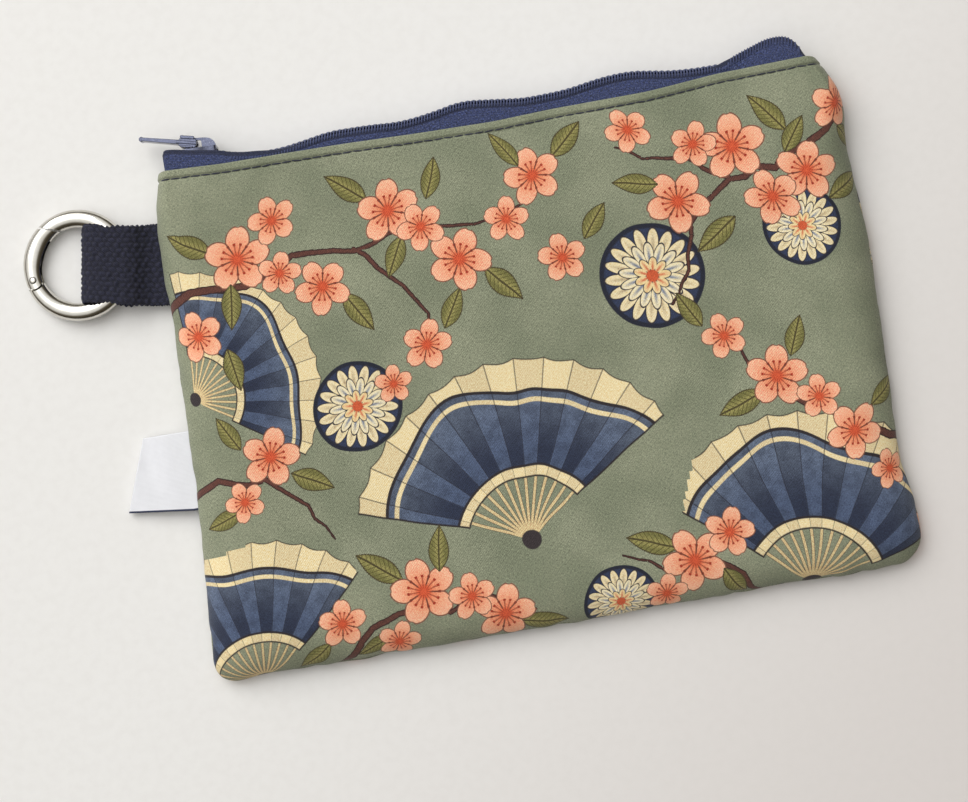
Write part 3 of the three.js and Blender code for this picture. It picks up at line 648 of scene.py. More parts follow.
def twig(ink, under, u, v):
    """A twig as a chain of straight pieces: within its half width of the nearest piece's middle line."""
    ax, ay, bx, by = ink.stored("twig")
    wide = ink.stored("twig_width")
    dx, dy = bx - ax, by - ay
    t = (((u - ax) * dx + (v - ay) * dy) / (dx * dx + dy * dy).most(0.001)).most(0.0).least(1.0)
    off = far(u - (ax + dx * t), v - (ay + dy * t))
    half = wide[0] + (wide[1] - wide[0]) * t
    rough = ink.noise(ink.join(u, v), 0.9, 2.0) * 0.5 - 0.25
    inside = (off - half - rough).rises(0.06, -0.06)
    rim = (off - half - rough).rises(-0.42, -0.2)
    colour = ink.mix(ink.noise(ink.join(u, v, 3.0), 1.6), paint(104, 62, 50), paint(78, 42, 36))
    return ink.mix(inside, under, ink.mix(rim, colour, paint(52, 28, 26)))


FAN_PLEATS = 13
FAN_OPENING = 2.2


def fan(ink, under, u, v):
    """An open folding fan. Its opening, an angle in radians, is cut into equal pleats, light and
    dark in turn, and rings of its radius are its rim, its field, its inner border and its sticks."""
    x, y = turned(ink, u, v, "fan")
    r = far(x, y)
    angle = ink.math("ARCTAN2", x, y)
    pleat = angle * (FAN_PLEATS / FAN_OPENING)
    lit = (pleat * 0.5).fraction().rises(0.46, 0.54)
    fold = abs(pleat.fraction() - 0.5)
    scallop = r + abs((pleat * math.pi).sin()) * 0.02
    opened = abs(angle).rises(1.115, 1.105)
    paper = opened * scallop.rises(1.0, 0.992) * r.rises(0.335, 0.342)
    field = ink.mix(lit, paint(36, 45, 68), paint(74, 88, 116))
    field = ink.mix(r.rises(0.46, 0.9) * 0.55, field, paint(116, 128, 146))
    shade = ink.noise(ink.join(u, v, 11.0), 0.35, 3.0)
    field = ink.mix(shade.rises(0.35, 0.7) * 0.4, field, paint(28, 34, 54))
    cream = ink.mix(lit * 0.35, paint(236, 217, 170), paint(198, 178, 140))
    bank = r + (angle * 4.0).sin() * 0.045 + (angle * 9.0 + 1.0).sin() * 0.018
    colour = ink.mix(bank.rises(0.845, 0.85), field, cream)
    colour = ink.mix(abs(bank - 0.845).rises(0.012, 0.006), colour, paint(40, 34, 38))
    colour = ink.mix(abs(bank - 0.79).rises(0.016, 0.010), colour, cream)
    colour = ink.mix(r.rises(0.405, 0.40), colour, cream)
    colour = ink.mix(abs(r - 0.405).rises(0.010, 0.004), colour, paint(40, 34, 38))
    colour = ink.mix(fold.rises(0.465, 0.49) * 0.7, colour, paint(30, 28, 38))
    rim = (1.0 - scallop).least(r - 0.338).least((1.11 - abs(angle)) * r)
    colour = ink.mix(rim.rises(0.014, 0.006), colour, paint(38, 30, 32))
    off_stick = abs((pleat + 0.5).fraction() - 0.5) * r
    sticks = opened * r.rises(0.345, 0.335) * off_stick.rises(0.062, 0.05)
    stick = ink.mix(off_stick.rises(0.036, 0.05), paint(214, 190, 142), paint(60, 44, 40))
    under = ink.mix(sticks, under, stick)
    under = ink.mix(r.rises(0.058, 0.05), under, paint(50, 42, 44))
    return ink.mix(paper, under, colour)


def rosette(ink, under, u, v):
    """A round flower head: three rings of narrow petals about a small middle, on a dark disc."""
    x, y = turned(ink, u, v, "rosette")
    r = far(x, y)
    angle = ink.math("ARCTAN2", y, x)

    def petals(under, count, turn, middle, length, width, light, dark):
        sector = math.tau / count
        folded = angle + turn
        folded = folded - (folded / sector).nearest() * sector
        px, py = (r * folded.cos() - middle) / length, r * folded.sin() / width
        edge = far(px, py)
        colour = ink.mix(abs(py).rises(0.5, 0.0) * px.rises(1.0, -0.4), light, dark)
        colour = ink.mix(edge.rises(0.78, 0.9), colour, paint(40, 36, 48))
        return ink.mix(edge.rises(1.0, 0.97), under, colour)

    disc = ink.mix(r.rises(0.86, 0.9), paint(44, 54, 82), paint(26, 30, 46))
    colour = ink.mix(r.rises(0.98, 0.96), under, disc)
    colour = petals(colour, 18, 0.0, 0.64, 0.27, 0.115, paint(238, 221, 178), paint(192, 172, 136))
    colour = petals(colour, 14, 0.22, 0.42, 0.22, 0.098, paint(242, 228, 190), paint(120, 130, 150))
    colour = petals(colour, 9, 0.0, 0.22, 0.14, 0.085, paint(240, 214, 160), paint(214, 120, 80))
    colour = ink.mix(r.rises(0.12, 0.10), colour, paint(206, 90, 52))
    return ink.mix(r.rises(1.0, 0.985), under, colour)


def printed_cotton(colours):
    """Cotton with a print of flat shapes: sage ground, pleated fans, flower heads, twigs, leaves
    and coral blossoms, each drawn by its own formula about the places stored on the cloth."""
    ink = Finish("print_cotton", Roughness=0.88, Sheen_Weight=0.12, Sheen_Roughness=0.5)
    u, v, _ = ink.split(ink.along_cloth())
    spot = ink.join(u, v)
    dark, light = tuple(colours.ground_dark), tuple(colours.ground)
    ground = ink.mix(ink.noise(spot, 0.05, 2.0).rises(0.3, 0.7), dark, light)
    ground = ink.mix(ink.noise(spot, 0.4, 3.0).rises(0.35, 0.75) * 0.3, ground, dark)
    colour = fan(ink, ground, u, v)
    colour = rosette(ink, colour, u, v)
    colour = twig(ink, colour, u, v)
    colour = leaf(ink, colour, u, v, "leaf_low")
    colour = blossom(ink, colour, u, v, "blossom_low")
    colour = leaf(ink, colour, u, v, "leaf_high")
    colour = blossom(ink, colour, u, v, "blossom_high")
    colour = cloth_grain(ink, u, v, colour, 0.66)
    height = woven(u, v, 0.34) * 0.5 + ink.noise(spot, 2.2, 2.0) * 0.8
    return ink.finish(colour, normal=ink.bump(height, 0.00009, 0.8))


def lining_cotton(colour):
    """Plain woven cloth in one colour, with uneven threads."""
    ink = Finish("lining_cotton", Roughness=0.9, Sheen_Weight=0.2, Sheen_Roughness=0.5)
    u, v, _ = ink.split(ink.along_cloth())
    spot = ink.join(u, v)
    patchy = ink.noise(spot, 0.12, 3.0).rises(0.3, 0.7) * 0.35
    tone = ink.mix(patchy, tuple(colour), toned(colour, 0.7))
    tone = cloth_grain(ink, u, v, tone, 0.5)
    height = woven(u, v, 0.4) * 0.5 + ink.noise(spot, 1.5, 2.0) * 0.6
    return ink.finish(tone, normal=ink.bump(height, 0.00008, 0.9))


def tape_cloth(colour):
    """Zip tape: fine ribs along the tape with slanting twill threads across them, painted shade in the
    grooves between the ribs, and a band of painted shade behind the stitches just below its top edge, where
    v is 0."""
    ink = Finish("zip_tape", Roughness=0.82, Sheen_Weight=0.25, Sheen_Roughness=0.5)
    u, v, _ = ink.split(ink.along_cloth())
    rib = abs((v * (math.pi / 0.62)).sin())
    twill = ((u + v * 0.9) * (math.pi / 0.34)).sin()
    height = rib * 0.7 + twill * 0.35
    # top masks a band of painted shade behind the stitches, just below the tape's top edge.
    top = v.rises(-1.3, -0.9) * v.rises(0.4, 0.1)
    # Painted shade in the grooves between the ribs.
    tone = ink.mix(rib.rises(0.75, 0.1) * 0.3, tuple(colour), toned(colour, 0.5))
    pale = ink.noise(ink.join(u, v), 2.0, 3.0, 0.7).rises(0.45, 0.75) * 0.5
    tone = ink.mix(pale, tone, paint(104, 112, 138))
    tone = cloth_grain(ink, u, v, tone, 1.5)
    tone = ink.mix(top * 0.75, tone, toned(colour, 0.2))
    return ink.finish(tone, normal=ink.bump(height, 0.0001, 0.9))


def coil_nylon(colour):
    """Nylon wire, dark on its legs and paler on its crown, which v tells from -1 to 1: the paler crown is a
    painted highlight, broken up by a scuff noise that also varies the roughness.
    """
    ink = Finish("coil_nylon", Roughness=0.42, Coat_Weight=0.2, Coat_Roughness=0.3)
    _, v, _ = ink.split(ink.along_cloth())
    scuff_and_highlight = ink.noise(ink.place(), 1.4, 3.0).rises(0.35, 0.75)
    # Painted highlight: the crown is made paler where light falls on it.
    tone = ink.mix(v.rises(-0.1, 0.55) * (scuff_and_highlight * 0.4 + 0.6), tuple(colour), paint(82, 94, 128))
    return ink.finish(tone, roughness=scuff_and_highlight * 0.2 + 0.4)


def thread_cotton(name, colour):
    """Twisted sewing thread: slanting plies across each stitch, with a painted highlight on each raised
    ply.
    """
    ink = Finish(name, Roughness=0.7, Sheen_Weight=0.15)
    x, y, z = ink.split(ink.place())
    ply = ((x + y * 2.2 + z) * (math.pi / 0.16)).sin()
    # Painted highlight: the raised plies are paler.
    tone = ink.mix(ply.rises(-0.2, 0.9) * 0.5, tuple(colour), toned(colour, 2.1, 0.02))
    return ink.finish(tone, normal=ink.bump(ply, 0.00004, 0.8))


def painted_zinc(colour):
    """Blue-grey lacquer on cast zinc, with a soft mottle and paler spots that are partly worn lacquer and
    partly painted highlights.
    """
    ink = Finish("slider_metal", Metallic=1.0, Roughness=0.3, Coat_Weight=0.2, Coat_Roughness=0.1)
    spot = ink.place()
    mottle = ink.noise(spot, 0.9, 3.0)
    wear_and_highlight = ink.noise(spot, 2.6, 4.0, 0.65).rises(0.62, 0.72)
    tone = ink.mix(mottle.rises(0.3, 0.7) * 0.5, tuple(colour), toned(colour, 0.62))
    # Paler spots: partly worn lacquer, partly a painted highlight.
    tone = ink.mix(wear_and_highlight * 0.7, tone, paint(200, 203, 214))
    return ink.finish(tone, roughness=mottle * 0.2 + 0.14,
                      normal=ink.bump(ink.noise(spot, 3.0, 3.0), 0.00005, 0.5))


def nickel_plate():
    """Bright nickel plate with faint hairlines along the wire and a little haze."""
    ink = Finish("nickel", Metallic=1.0, Roughness=0.12)
    x, y, z = ink.split(ink.place())
    hair = ink.noise(ink.join(x * 0.6, y * 0.6, z * 9), 1.2, 3.0)
    haze = ink.noise(ink.place(), 0.3, 2.0)
    tone = ink.mix(haze.rises(0.35, 0.7) * 0.5, paint(216, 213, 206), paint(188, 184, 174))
    return ink.finish(tone, roughness=hair * 0.08 + haze * 0.1 + 0.02,
                      normal=ink.bump(hair, 0.00001, 0.35))


def webbing_cotton(colour):
    """Coarse dark webbing: thick yarns whose fibres twist across them, with painted shade where they dip in
    the weave, as the stored depth tells."""
    ink = Finish("webbing", Roughness=0.95, Sheen_Weight=0.05, Sheen_Roughness=0.6)
    depth = ink.stored("weave")[0]
    u, v, _ = ink.split(ink.along_cloth())
    fibre = ((u * 0.7 + v) * (math.pi / 0.22)).sin()
    tuft = ink.noise(ink.join(u, v), 1.5, 4.0, 0.65)
    lint = ink.noise(ink.join(u, v, 5.0), 3.2, 3.0, 0.7)
    tone = ink.mix(tuft.rises(0.35, 0.72) * 0.7, tuple(colour), toned(colour, 2.0, 0.002))
    tone = ink.mix(lint.rises(0.56, 0.72) * 0.5, tone, toned(colour, 4.0))
    # Painted shade where the yarns dip in the weave.
    tone = ink.mix(depth.rises(0.6, 0.1) * 0.6, tone, toned(colour, 0.25))
    tone = ink.mix(fibre.rises(-0.2, 1.0) * 0.25, tone, toned(colour, 0.4))
    return ink.finish(tone, normal=ink.bump(fibre * 0.4 + tuft, 0.0004, 1.0))


def label_satin(colour):
    """Pale satin ribbon: fine ribs across it, and a thin navy line on its lower selvedge."""
    ink = Finish("label_satin", Roughness=0.38, Sheen_Weight=0.2, Sheen_Roughness=0.3)
    u, v, _ = ink.split(ink.along_cloth())
    rib = (v * (math.pi / 0.16)).sin()
    line = v.rises(LABEL_WIDTH / MM - 0.55, LABEL_WIDTH / MM - 0.47)
    soft = ink.noise(ink.join(u, v), 0.35, 2.0)
    tone = ink.mix(soft.rises(0.3, 0.7) * 0.4, tuple(colour), toned(colour, 0.93))
    tone = ink.mix(line, tone, paint(38, 46, 76))
    return ink.finish(tone, roughness=soft * 0.12 + 0.34,
                      normal=ink.bump(rib * 0.3 + soft, 0.00006, 0.6))


# The print's layout, in millimetres on the cloth: (x, y, turn in degrees, size)

FANS = [(-6, -40, 8, 47), (64, -64, -12, 47), (-80, -66, 16, 40), (-88, 12, -62, 34), (96, 4, 48, 36)]
ROSETTES = [(34, 22, 0, 14), (-46, 2, 10, 12), (14, -60, 0, 10), (74, 30, 20, 10.5)]
BLOSSOMS_LOW = [
    (60, 52, 20, 9.2), (44, 40, 50, 8.6), (78, 44, 5, 8.2), (-70, 46, 10, 9.0), (-50, 34, 40, 7.6),
    (-30, 50, 15, 8.4), (-14, 34, 60, 8.6), (8, 52, 30, 7.8), (-70, -6, 0, 8.0), (-36, -48, 25, 9.0),
    (-16, -58, 5, 8.2), (34, -52, 40, 8.8), (62, -8, 12, 8.4), (80, -24, 50, 7.6), (12, 30, 22, 6.6),
    (-84, 28, 30, 7.0), (-58, -52, 12, 6.6), (50, 4, 33, 6.2), (-26, 14, 0, 6.8), (88, 60, 0, 7.2),
]
BLOSSOMS_HIGH = [
    (50, 54, 0, 6.4), (68, 38, 35, 7.6), (-60, 54, 30, 6.6), (-60, 40, 0, 6.0), (-22, 44, 40, 6.6),
    (0, 42, 10, 6.2), (-78, -16, 40, 5.6), (-24, -52, 20, 6.4), (44, -46, 0, 6.8), (72, -14, 20, 6.0),
    (26, -60, 10, 5.8), (-44, -60, 0, 6.0), (88, -36, 25, 5.4), (-36, 6, 15, 5.2), (34, 60, 40, 6.2),
]
LEAVES_LOW = [
    (70, 60, 130, 6.6), (52, 30, 215, 6.8), (88, 38, 20, 6.4), (-82, 52, 150, 6.6), (-42, 26, 300, 6.4),
    (-40, 58, 140, 6.4), (-4, 26, 310, 6.6), (18, 60, 40, 6.2), (-60, -14, 330, 6.2), (-46, -40, 140, 7.0),
    (-6, -62, 350, 6.4), (24, -46, 160, 6.8), (52, -14, 200, 6.6), (90, -16, 30, 5.8), (22, 38, 50, 5.6),
    (-76, 18, 280, 5.8), (-66, -60, 220, 5.8), (42, 12, 120, 5.6), (-18, 22, 60, 5.8), (-84, -20, 200, 5.4),
]
LEAVES_HIGH = [
    (34, 46, 170, 6.0), (76, 54, 60, 5.6), (-74, 34, 260, 6.0), (-18, 56, 70, 5.6), (-30, 38, 240, 5.8),
    (-80, 2, 120, 5.4), (-30, -38, 80, 6.0), (44, -60, 300, 5.8), (68, 2, 70, 5.6), (-50, -60, 200, 5.4),
    (92, 50, 320, 5.4), (2, 60, 120, 5.4),
]
TWIGS = [
    ([(98, 66), (84, 54), (70, 46), (58, 44), (46, 34), (44, 22), (38, 14)], 1.3, 0.35),
    ([(58, 44), (50, 50), (40, 52), (30, 56)], 0.8, 0.3),
    ([(-98, 34), (-84, 40), (-70, 38), (-56, 44), (-40, 42), (-26, 46), (-8, 42), (6, 46)], 1.3, 0.3),
    ([(-40, 42), (-32, 34), (-24, 22), (-26, 10)], 0.8, 0.3),
    ([(-98, -14), (-84, -10), (-72, -12), (-62, -20), (-56, -30)], 1.1, 0.3),
    ([(-62, -70), (-54, -58), (-44, -52), (-30, -54), (-18, -52), (-8, -58)], 1.2, 0.3),
    ([(98, -30), (86, -26), (76, -18), (64, -14), (56, -6), (50, 6)], 1.2, 0.3),
    ([(54, -72), (46, -58), (36, -50), (26, -52), (16, -48)], 1.1, 0.3),
]


def twig_pieces():
    """Each twig's bends are cut into short pieces that zigzag a little, and narrow to its tip.
    Gives (ax, ay, bx, by) and the half width at both ends of every piece."""
    rng = np.random.default_rng(5)
    pieces, widths = [], []
    for path, wide, thin in TWIGS:
        path = np.array(path, float)
        t = np.linspace(0, len(path) - 1, 3 * (len(path) - 1) + 1)
        line = np.stack([np.interp(t, np.arange(len(path)), path[:, k]) for k in (0, 1)], -1)
        line[1:-1] += rng.normal(0, 0.55, line[1:-1].shape)
        half = np.linspace(wide, thin, len(line))
        pieces.append(np.concatenate([line[:-1], line[1:]], -1))
        widths.append(np.stack([half[:-1], half[1:], half[1:] * 0, half[1:] * 0 + 1], -1))
    return np.concatenate(pieces), np.concatenate(widths)


def shift_print(places, by):
    """The same roll of cloth cut at another place: the print moves sideways and comes round again."""
    repeat = 192
    moved = np.array(places, float)
    moved[:, 0] = (moved[:, 0] + by + repeat / 2) % repeat - repeat / 2
    return moved


def store_print(piece, by):
    """Stores on every face the nearest motif of each kind, so that a shader can draw it there."""
    mesh = piece.data
    corners = np.empty(len(mesh.loops) * 2, np.float32)
    mesh.uv_layers["cloth"].data.foreach_get("uv", corners)
    starts = np.empty(len(mesh.polygons), np.int32)
    totals = np.empty(len(mesh.polygons), np.int32)
    mesh.polygons.foreach_get("loop_start", starts)
    mesh.polygons.foreach_get("loop_total", totals)
    middle = np.add.reduceat(corners.reshape(-1, 2), starts) / totals[:, None]

    def store(name, values):
        layer = mesh.attributes.new(name, "FLOAT_COLOR", "CORNER")
        layer.data.foreach_set("color", np.repeat(values, totals, axis=0).astype(np.float32).ravel())

    kinds = {"fan": FANS, "rosette": ROSETTES, "leaf_low": LEAVES_LOW, "leaf_high": LEAVES_HIGH,
             "blossom_low": BLOSSOMS_LOW, "blossom_high": BLOSSOMS_HIGH}
    for name, places in kinds.items():
        places = shift_print(places, by)
        places[:, 2] = np.radians(places[:, 2])
        away = np.linalg.norm(middle[:, None] - places[None, :, :2], axis=-1) / places[None, :, 3]
        store(name, places[np.argmin(away, 1)])
    pieces, widths = twig_pieces()
    moved = shift_print(pieces, by)
    moved[:, 2] = moved[:, 0] + pieces[:, 2] - pieces[:, 0]
    step = moved[:, 2:] - moved[:, :2]
    reach = middle[:, None] - moved[None, :, :2]
    t = np.clip((reach * step).sum(-1) / np.maximum((step * step).sum(-1), 1e-6), 0, 1)
    near = np.argmin(np.linalg.norm(reach - step * t[..., None], axis=-1), 1)
    store("twig", moved[near])
    store("twig_width", widths[near])


def flat_coordinates(points, mirror):
    """The cloth's own coordinates in millimetres: the way along the surface from the middle column
    and from the middle row, so that a print isn't stretched where the cloth rolls over."""
    rows, columns = points.shape[:2]
    across = np.linalg.norm(np.diff(points, axis=1), axis=-1)
    along = np.concatenate([np.zeros((rows, 1)), np.cumsum(across, 1)], 1)
    along -= along[:, columns // 2:columns // 2 + 1]
    up = np.linalg.norm(np.diff(points, axis=0), axis=-1)
    rise = np.concatenate([np.zeros((1, columns)), np.cumsum(up, 0)], 0)
    rise += points[0, columns // 2, 1] - rise[0]
    return np.stack([mirror * along, rise], -1) / MM


def outer_cloth(name, node, up, material, shift):
    """One outer panel as a shell of cotton. Outer face: the form, raised along its normal by the
    cloth's relief, rounded over at the fold. Inner face: the same, a cloth's thickness further in."""
    points, normal = panel_grid(up, 221, 132, fine_rows=30)
    relief = cloth_relief(points, RELIEF_SEED[up])
    below = FOLD_Y - points[..., 1]
    round_over = 0.45 * MM
    edge = np.clip(1 - below / round_over, 0, 1)
    turn_over = round_over * (1 - np.sqrt(1 - edge ** 2))
    outer = lean(points + normal * (relief - turn_over)[..., None])
    inner = lean(points + normal * (np.minimum(relief, 0) - CLOTH + turn_over * 0.98)[..., None])
    if up < 0:
        outer[..., 2] = np.maximum(outer[..., 2], 0)
        inner[..., 2] = np.maximum(inner[..., 2], outer[..., 2] + 0.4 * MM * (normal[..., 2] < -0.5))
    vertices, faces = shell(outer, inner)
    piece = new_piece(name, vertices, faces, material, "pouch")
    flat = flat_coordinates(outer, up).reshape(-1, 2)
    set_uv(piece, np.concatenate([flat, flat]))
    store_print(piece, shift)
    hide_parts(node)


def lining_cloth(name, node, up, material):
    """One lining: the panel's form drawn in all round, and deeper where the zip tape is sewn in. It
    follows the panel's hollows."""
    points, normal = panel_grid(up, 90, 70, inset=LINING_INSET)
    depth = 1.2 * MM + 1.0 * MM * smooth(points[..., 1], FOLD_Y - 25.2 * MM, FOLD_Y - 12.6 * MM)
    depth = depth - np.minimum(hollows(points, RELIEF_SEED[up]), 0)
    depth = depth + 0.05 * MM * ripple(points[..., 0], points[..., 1], 22 * MM, 31)
    outer = points - normal * depth[..., None]
    inner = points - normal * (depth + 0.4 * MM)[..., None]
    vertices, faces = shell(outer, inner)
    piece = new_piece(name, vertices, faces, material, "pouch")
    flat = flat_coordinates(outer, up).reshape(-1, 2)
    set_uv(piece, np.concatenate([flat, flat]))
    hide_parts(node)


def fold_stitches(name, up, material):
    """A row of topstitching: stitches 2.4 mm long, each a thread that dips into the cloth at both
    ends. A back stitch stays above the table."""
    pitch, length = 2.62 * MM, 2.38 * MM
    row_y = FOLD_Y - TOPSTITCH_BELOW_FOLD
    count = int((ZIP_EDGE_WIDTH - 0.5 * MM) / pitch)
    start = (np.arange(count) - count / 2) * pitch
    t = np.linspace(0, 1, 7)
    rng = np.random.default_rng(8 + up)
    x = start[:, None] + t[None] * length
    y = row_y + rng.normal(0, 0.06 * MM, (count, 1)) * (1 - 2 * t[None])
    across = np.linspace(-1, 1, 1201)
    points, _ = panel_surface(up, across, 0 * across + (row_y - BOTTOM_Y) / (FOLD_Y - BOTTOM_Y))
    line = np.stack([x, y, np.interp(x, points[:, 0], points[:, 2])], -1)
    sunk = -0.18 * MM + 0.20 * MM * np.sin(math.pi * t[None])
    line[..., 2] += up * (sunk + gathers(x, RELIEF_SEED[up]))
    line = lean(line)
    line[..., 2] = np.maximum(line[..., 2], 0.2 * MM)
    above = np.array([0.0, 0.0, up])
    aside = unit(np.cross(unit(np.gradient(line, axis=1)), above))
    radius = 0.19 * MM * (0.35 + 0.65 * np.sin(math.pi * np.clip(t, 0.03, 0.97)) ** 0.4)
    vertices, faces = many_tubes(rings_round(line, aside, above, radius, 7))
    piece = new_piece(name, vertices, faces, material, "pouch")


# The zip

# (place along the zip, height) in millimetres
ZIP_WAVE = [(-90, 0), (-71, 0), (-66, -1.2), (-61, -2.1), (-54, -2.1), (-46, -0.8), (-41, 0.2),
            (-30, 0.1), (-22.5, -0.4), (-14.5, 0.6), (-6, 2.4), (1.5, 1.6), (10, 0.5), (21, 0.9),
            (31, 2.6), (38.5, 3.0), (49, 1.3), (57, 0.9), (61, 1.1), (64, 0.9), (67, 0), (82, 0)]
TAPE_STAND = [(-90, 3.3), (-82, 3.2), (-77.5, 2.3), (-70, 1.1), (-65, 1.1), (-60, 1.3), (-54, 0.7),
              (-47, 0.2), (-40, 0), (57, 0), (60, 0.5), (64, 2.2), (68.5, 4.5), (73.5, 6.2), (76, 6.5),
              (79, 6.3), (81, 4.9), (82.5, 2.8), (84, -1.6)]


def zip_wave(x):
    """How far the zip's top edge rises or dips along its length. It's flat beside the slider."""
    return averaged(ZIP_WAVE, x, 3, 7) * smooth(np.abs(x + 75 * MM), 3 * MM, 8 * MM)


def tape_stand(x):
    """How far the front tape's top edge stands above its place below the coil: beside the shut
    slider, and in the hump at the zip's far end."""
    return averaged(TAPE_STAND, x, 1.2, 5)


def zip_tape(name, node, side, material):
    """One tape: an open L of woven ribbon carried along the zip. It stands against the hem, and its
    top turns over under the coil. Beside the shut slider it stands up higher, and hides the coil."""
    x = np.linspace(ZIP_LEFT, ZIP_RIGHT, 361)
    corner_radius = 1.3 * MM
    corner = np.clip(1 - (x - ZIP_LEFT) / corner_radius, 0, 1)
    stand = tape_stand(x) * (1 if side > 0 else 0.3) - corner_radius * (1 - np.sqrt(1 - corner ** 2))
    outside, inside = TAPE_OUTSIDE, TAPE_OUTSIDE - TAPE
    top = TAPE_TOP_Y
    foot = np.linspace(FOLD_Y - 9 * MM, top - 1.0 * MM, 8)
    turn = 0.12 * MM
    rim = [(top - 0.55 * MM, outside, 0.4), (top - turn, outside, 1), (top, outside - turn, 1),
           (top, inside + turn, 1), (top - turn, inside, 1), (top - 0.02 * MM, inside - 0.25 * MM, 0),
           (top, inside - 0.7 * MM, 0), (top, 1.6 * MM, 0), (top - 0.05 * MM, 1.0 * MM, 0),
           (top - TAPE, 1.05 * MM, 0), (top - TAPE, inside - 0.9 * MM, 0),
           (top - 0.62 * MM, inside - 0.3 * MM, 0), (top - 1.0 * MM, inside, 0)]
    profile = [(y, outside, 0.0) for y in foot] + rim + [(y, inside, 0.0) for y in foot[::-1]]
    y, z, lift = np.array(profile).T
    rising = smooth(y, FOLD_Y - 6 * MM, FOLD_Y + 0.5 * MM)
    wave = zip_wave(x)[:, None] * rising[None]
    flutter = 0.18 * MM * ripple(x, 0 * x, 23 * MM, 17)[:, None] * rising[None]
    rows_y = y[None] + wave + stand[:, None] * lift[None]
    rows_z = ZIP_MID_Z + side * (z[None] + np.where(z[None] > 2 * MM, flutter * 0.4, 0))
    sections = np.stack([np.broadcast_to(x[:, None], rows_y.shape), rows_y, rows_z], -1)
    vertices, faces = tube(sections)
    piece = new_piece(name, vertices, faces, material, "pouch")
    step = np.hypot(np.diff(rows_y, axis=1), np.diff(rows_z, axis=1))
    way = np.concatenate([0 * step[:, :1], np.cumsum(step, 1)], 1)
    way = way - way[:, len(foot) + 1][:, None]
    set_uv(piece, np.stack([x[:, None] + 0 * way, way], -1).reshape(-1, 2) / MM)
    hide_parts(node)


def coil_parted(x):
    """How far a coil stands aside from the middle: round the slider's post, and meshed elsewhere."""
    return 1.05 * MM * (1 - smooth(x, -76 * MM, -71.8 * MM))


def zip_coil(name, node, side, material):
    """One nylon coil: a flattened helix. At turn a its centre is up by sin a and aside by cos a."""
    start = -TAPE_END_X + 1 * MM + (0 if side > 0 else COIL_PITCH / 2)
    turns = int((2 * TAPE_END_X - 2 * MM) / COIL_PITCH) - 1
    wire, broad, sides = 0.26 * MM, 0.4 * MM, 6
    a = np.linspace(0, turns * math.tau, turns * 16 + 1)
    x = start + a / math.tau * COIL_PITCH
    low, high = COIL_LOW.y + 0.04 * MM, COIL_HIGH.y - 0.02 * MM
    middle = (COIL_WIDTH - COIL_MESH) / 2 + coil_parted(x)
    centre = np.stack([x, (low + high) / 2 + ((high - low) / 2 - wire) * np.sin(a) + zip_wave(x),
                       ZIP_MID_Z + side * (middle + (COIL_WIDTH / 2 - wire) * np.cos(a))], -1)
    out = np.stack([0 * a, np.sin(a), side * np.cos(a)], -1)
    ahead = unit(np.gradient(centre, axis=0))
    across = unit(np.cross(ahead, out))
    above = unit(np.cross(across, ahead))
    vertices, faces = tube(rings_round(centre, above, across, wire, sides, broad / wire))
    piece = new_piece(name, vertices, faces, material, "pouch")
    # v is the sine of the turn, which the coil's shader uses to paint a highlight on the crown.
    set_uv(piece, np.repeat(np.stack([x / MM, np.sin(a)], -1), sides, axis=0))
    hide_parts(node)


def coil_stitching(name, side, material):
    """The thread that sews a coil to its tape: one stitch to each half turn of the coil, from the
    tape's face up over the coil. Where the tape stands above the coil, it whips the tape's edge."""
    pitch = COIL_PITCH / 2
    x = np.arange(-66.5 * MM, ZIP_RIGHT - 1.2 * MM, pitch)
    over_coil = np.array([(66.85, 4.46), (67.45, 4.46), (68.05, 3.8), (68.5, 3.2), (68.72, 2.5),
                          (68.66, 1.7), (68.4, 1.0)]) * MM
    over_edge = np.array([(-1.9, 4.48), (-1.0, 4.48), (-0.25, 4.46), (0.08, 4.2), (-0.1, 3.95),
                          (-0.6, 3.9), (-1.0, 3.9)]) * MM
    risen = (smooth(x, 62 * MM, 65 * MM) * (side > 0))[:, None]
    edge_y = TAPE_TOP_Y + tape_stand(x)[:, None] + over_edge[None, :, 0]
    y = zip_wave(x)[:, None] + over_coil[None, :, 0] * (1 - risen) + risen * edge_y
    z = over_coil[None, :, 1] * (1 - risen) + over_edge[None, :, 1] * risen
    slant = np.linspace(-0.22, 0.22, 7) * MM
    line = np.stack([x[:, None] + slant[None], y, ZIP_MID_Z + side * z], -1)
    ahead = unit(np.gradient(line, axis=1))
    aside = unit(np.cross(ahead, np.array([1.0, 0, 0])))
    above = unit(np.cross(ahead, aside))
    vertices, faces = many_tubes(rings_round(line, aside, above, 0.2 * MM, 6))
    piece = new_piece(name, vertices, faces, material, "pouch")


def round_edges(piece, width):
    """Rounds a hard piece's edges over and shades its faces smooth between them."""
    bevel = piece.modifiers.new("edges", "BEVEL")
    bevel.width, bevel.segments, bevel.limit_method = width, 2, "ANGLE"
    bevel.angle_limit = math.radians(34)
    piece.data.shade_smooth()
    piece.data.set_sharp_from_angle(angle=math.radians(50))


def slider_shell(material, width):
    """A copy of the slider's solid whose doubled points are merged and whose edges are rounded."""
    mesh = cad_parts["slider_body"].data.copy()
    mesh.name = "slider_shell"
    mesh.materials.clear()
    mesh.materials.append(material)
    work = bmesh.new()
    work.from_mesh(mesh)
    bmesh.ops.remove_doubles(work, verts=work.verts, dist=2e-6)
    bmesh.ops.dissolve_limit(work, angle_limit=math.radians(1.5), verts=work.verts, edges=work.edges)
    work.to_mesh(mesh)
    work.free()
    piece = bpy.data.objects.new("slider_shell", mesh)
    bpy.context.scene.collection.objects.link(piece)
    round_edges(piece, width)
    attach(piece, "slider")
    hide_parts("slider_body")


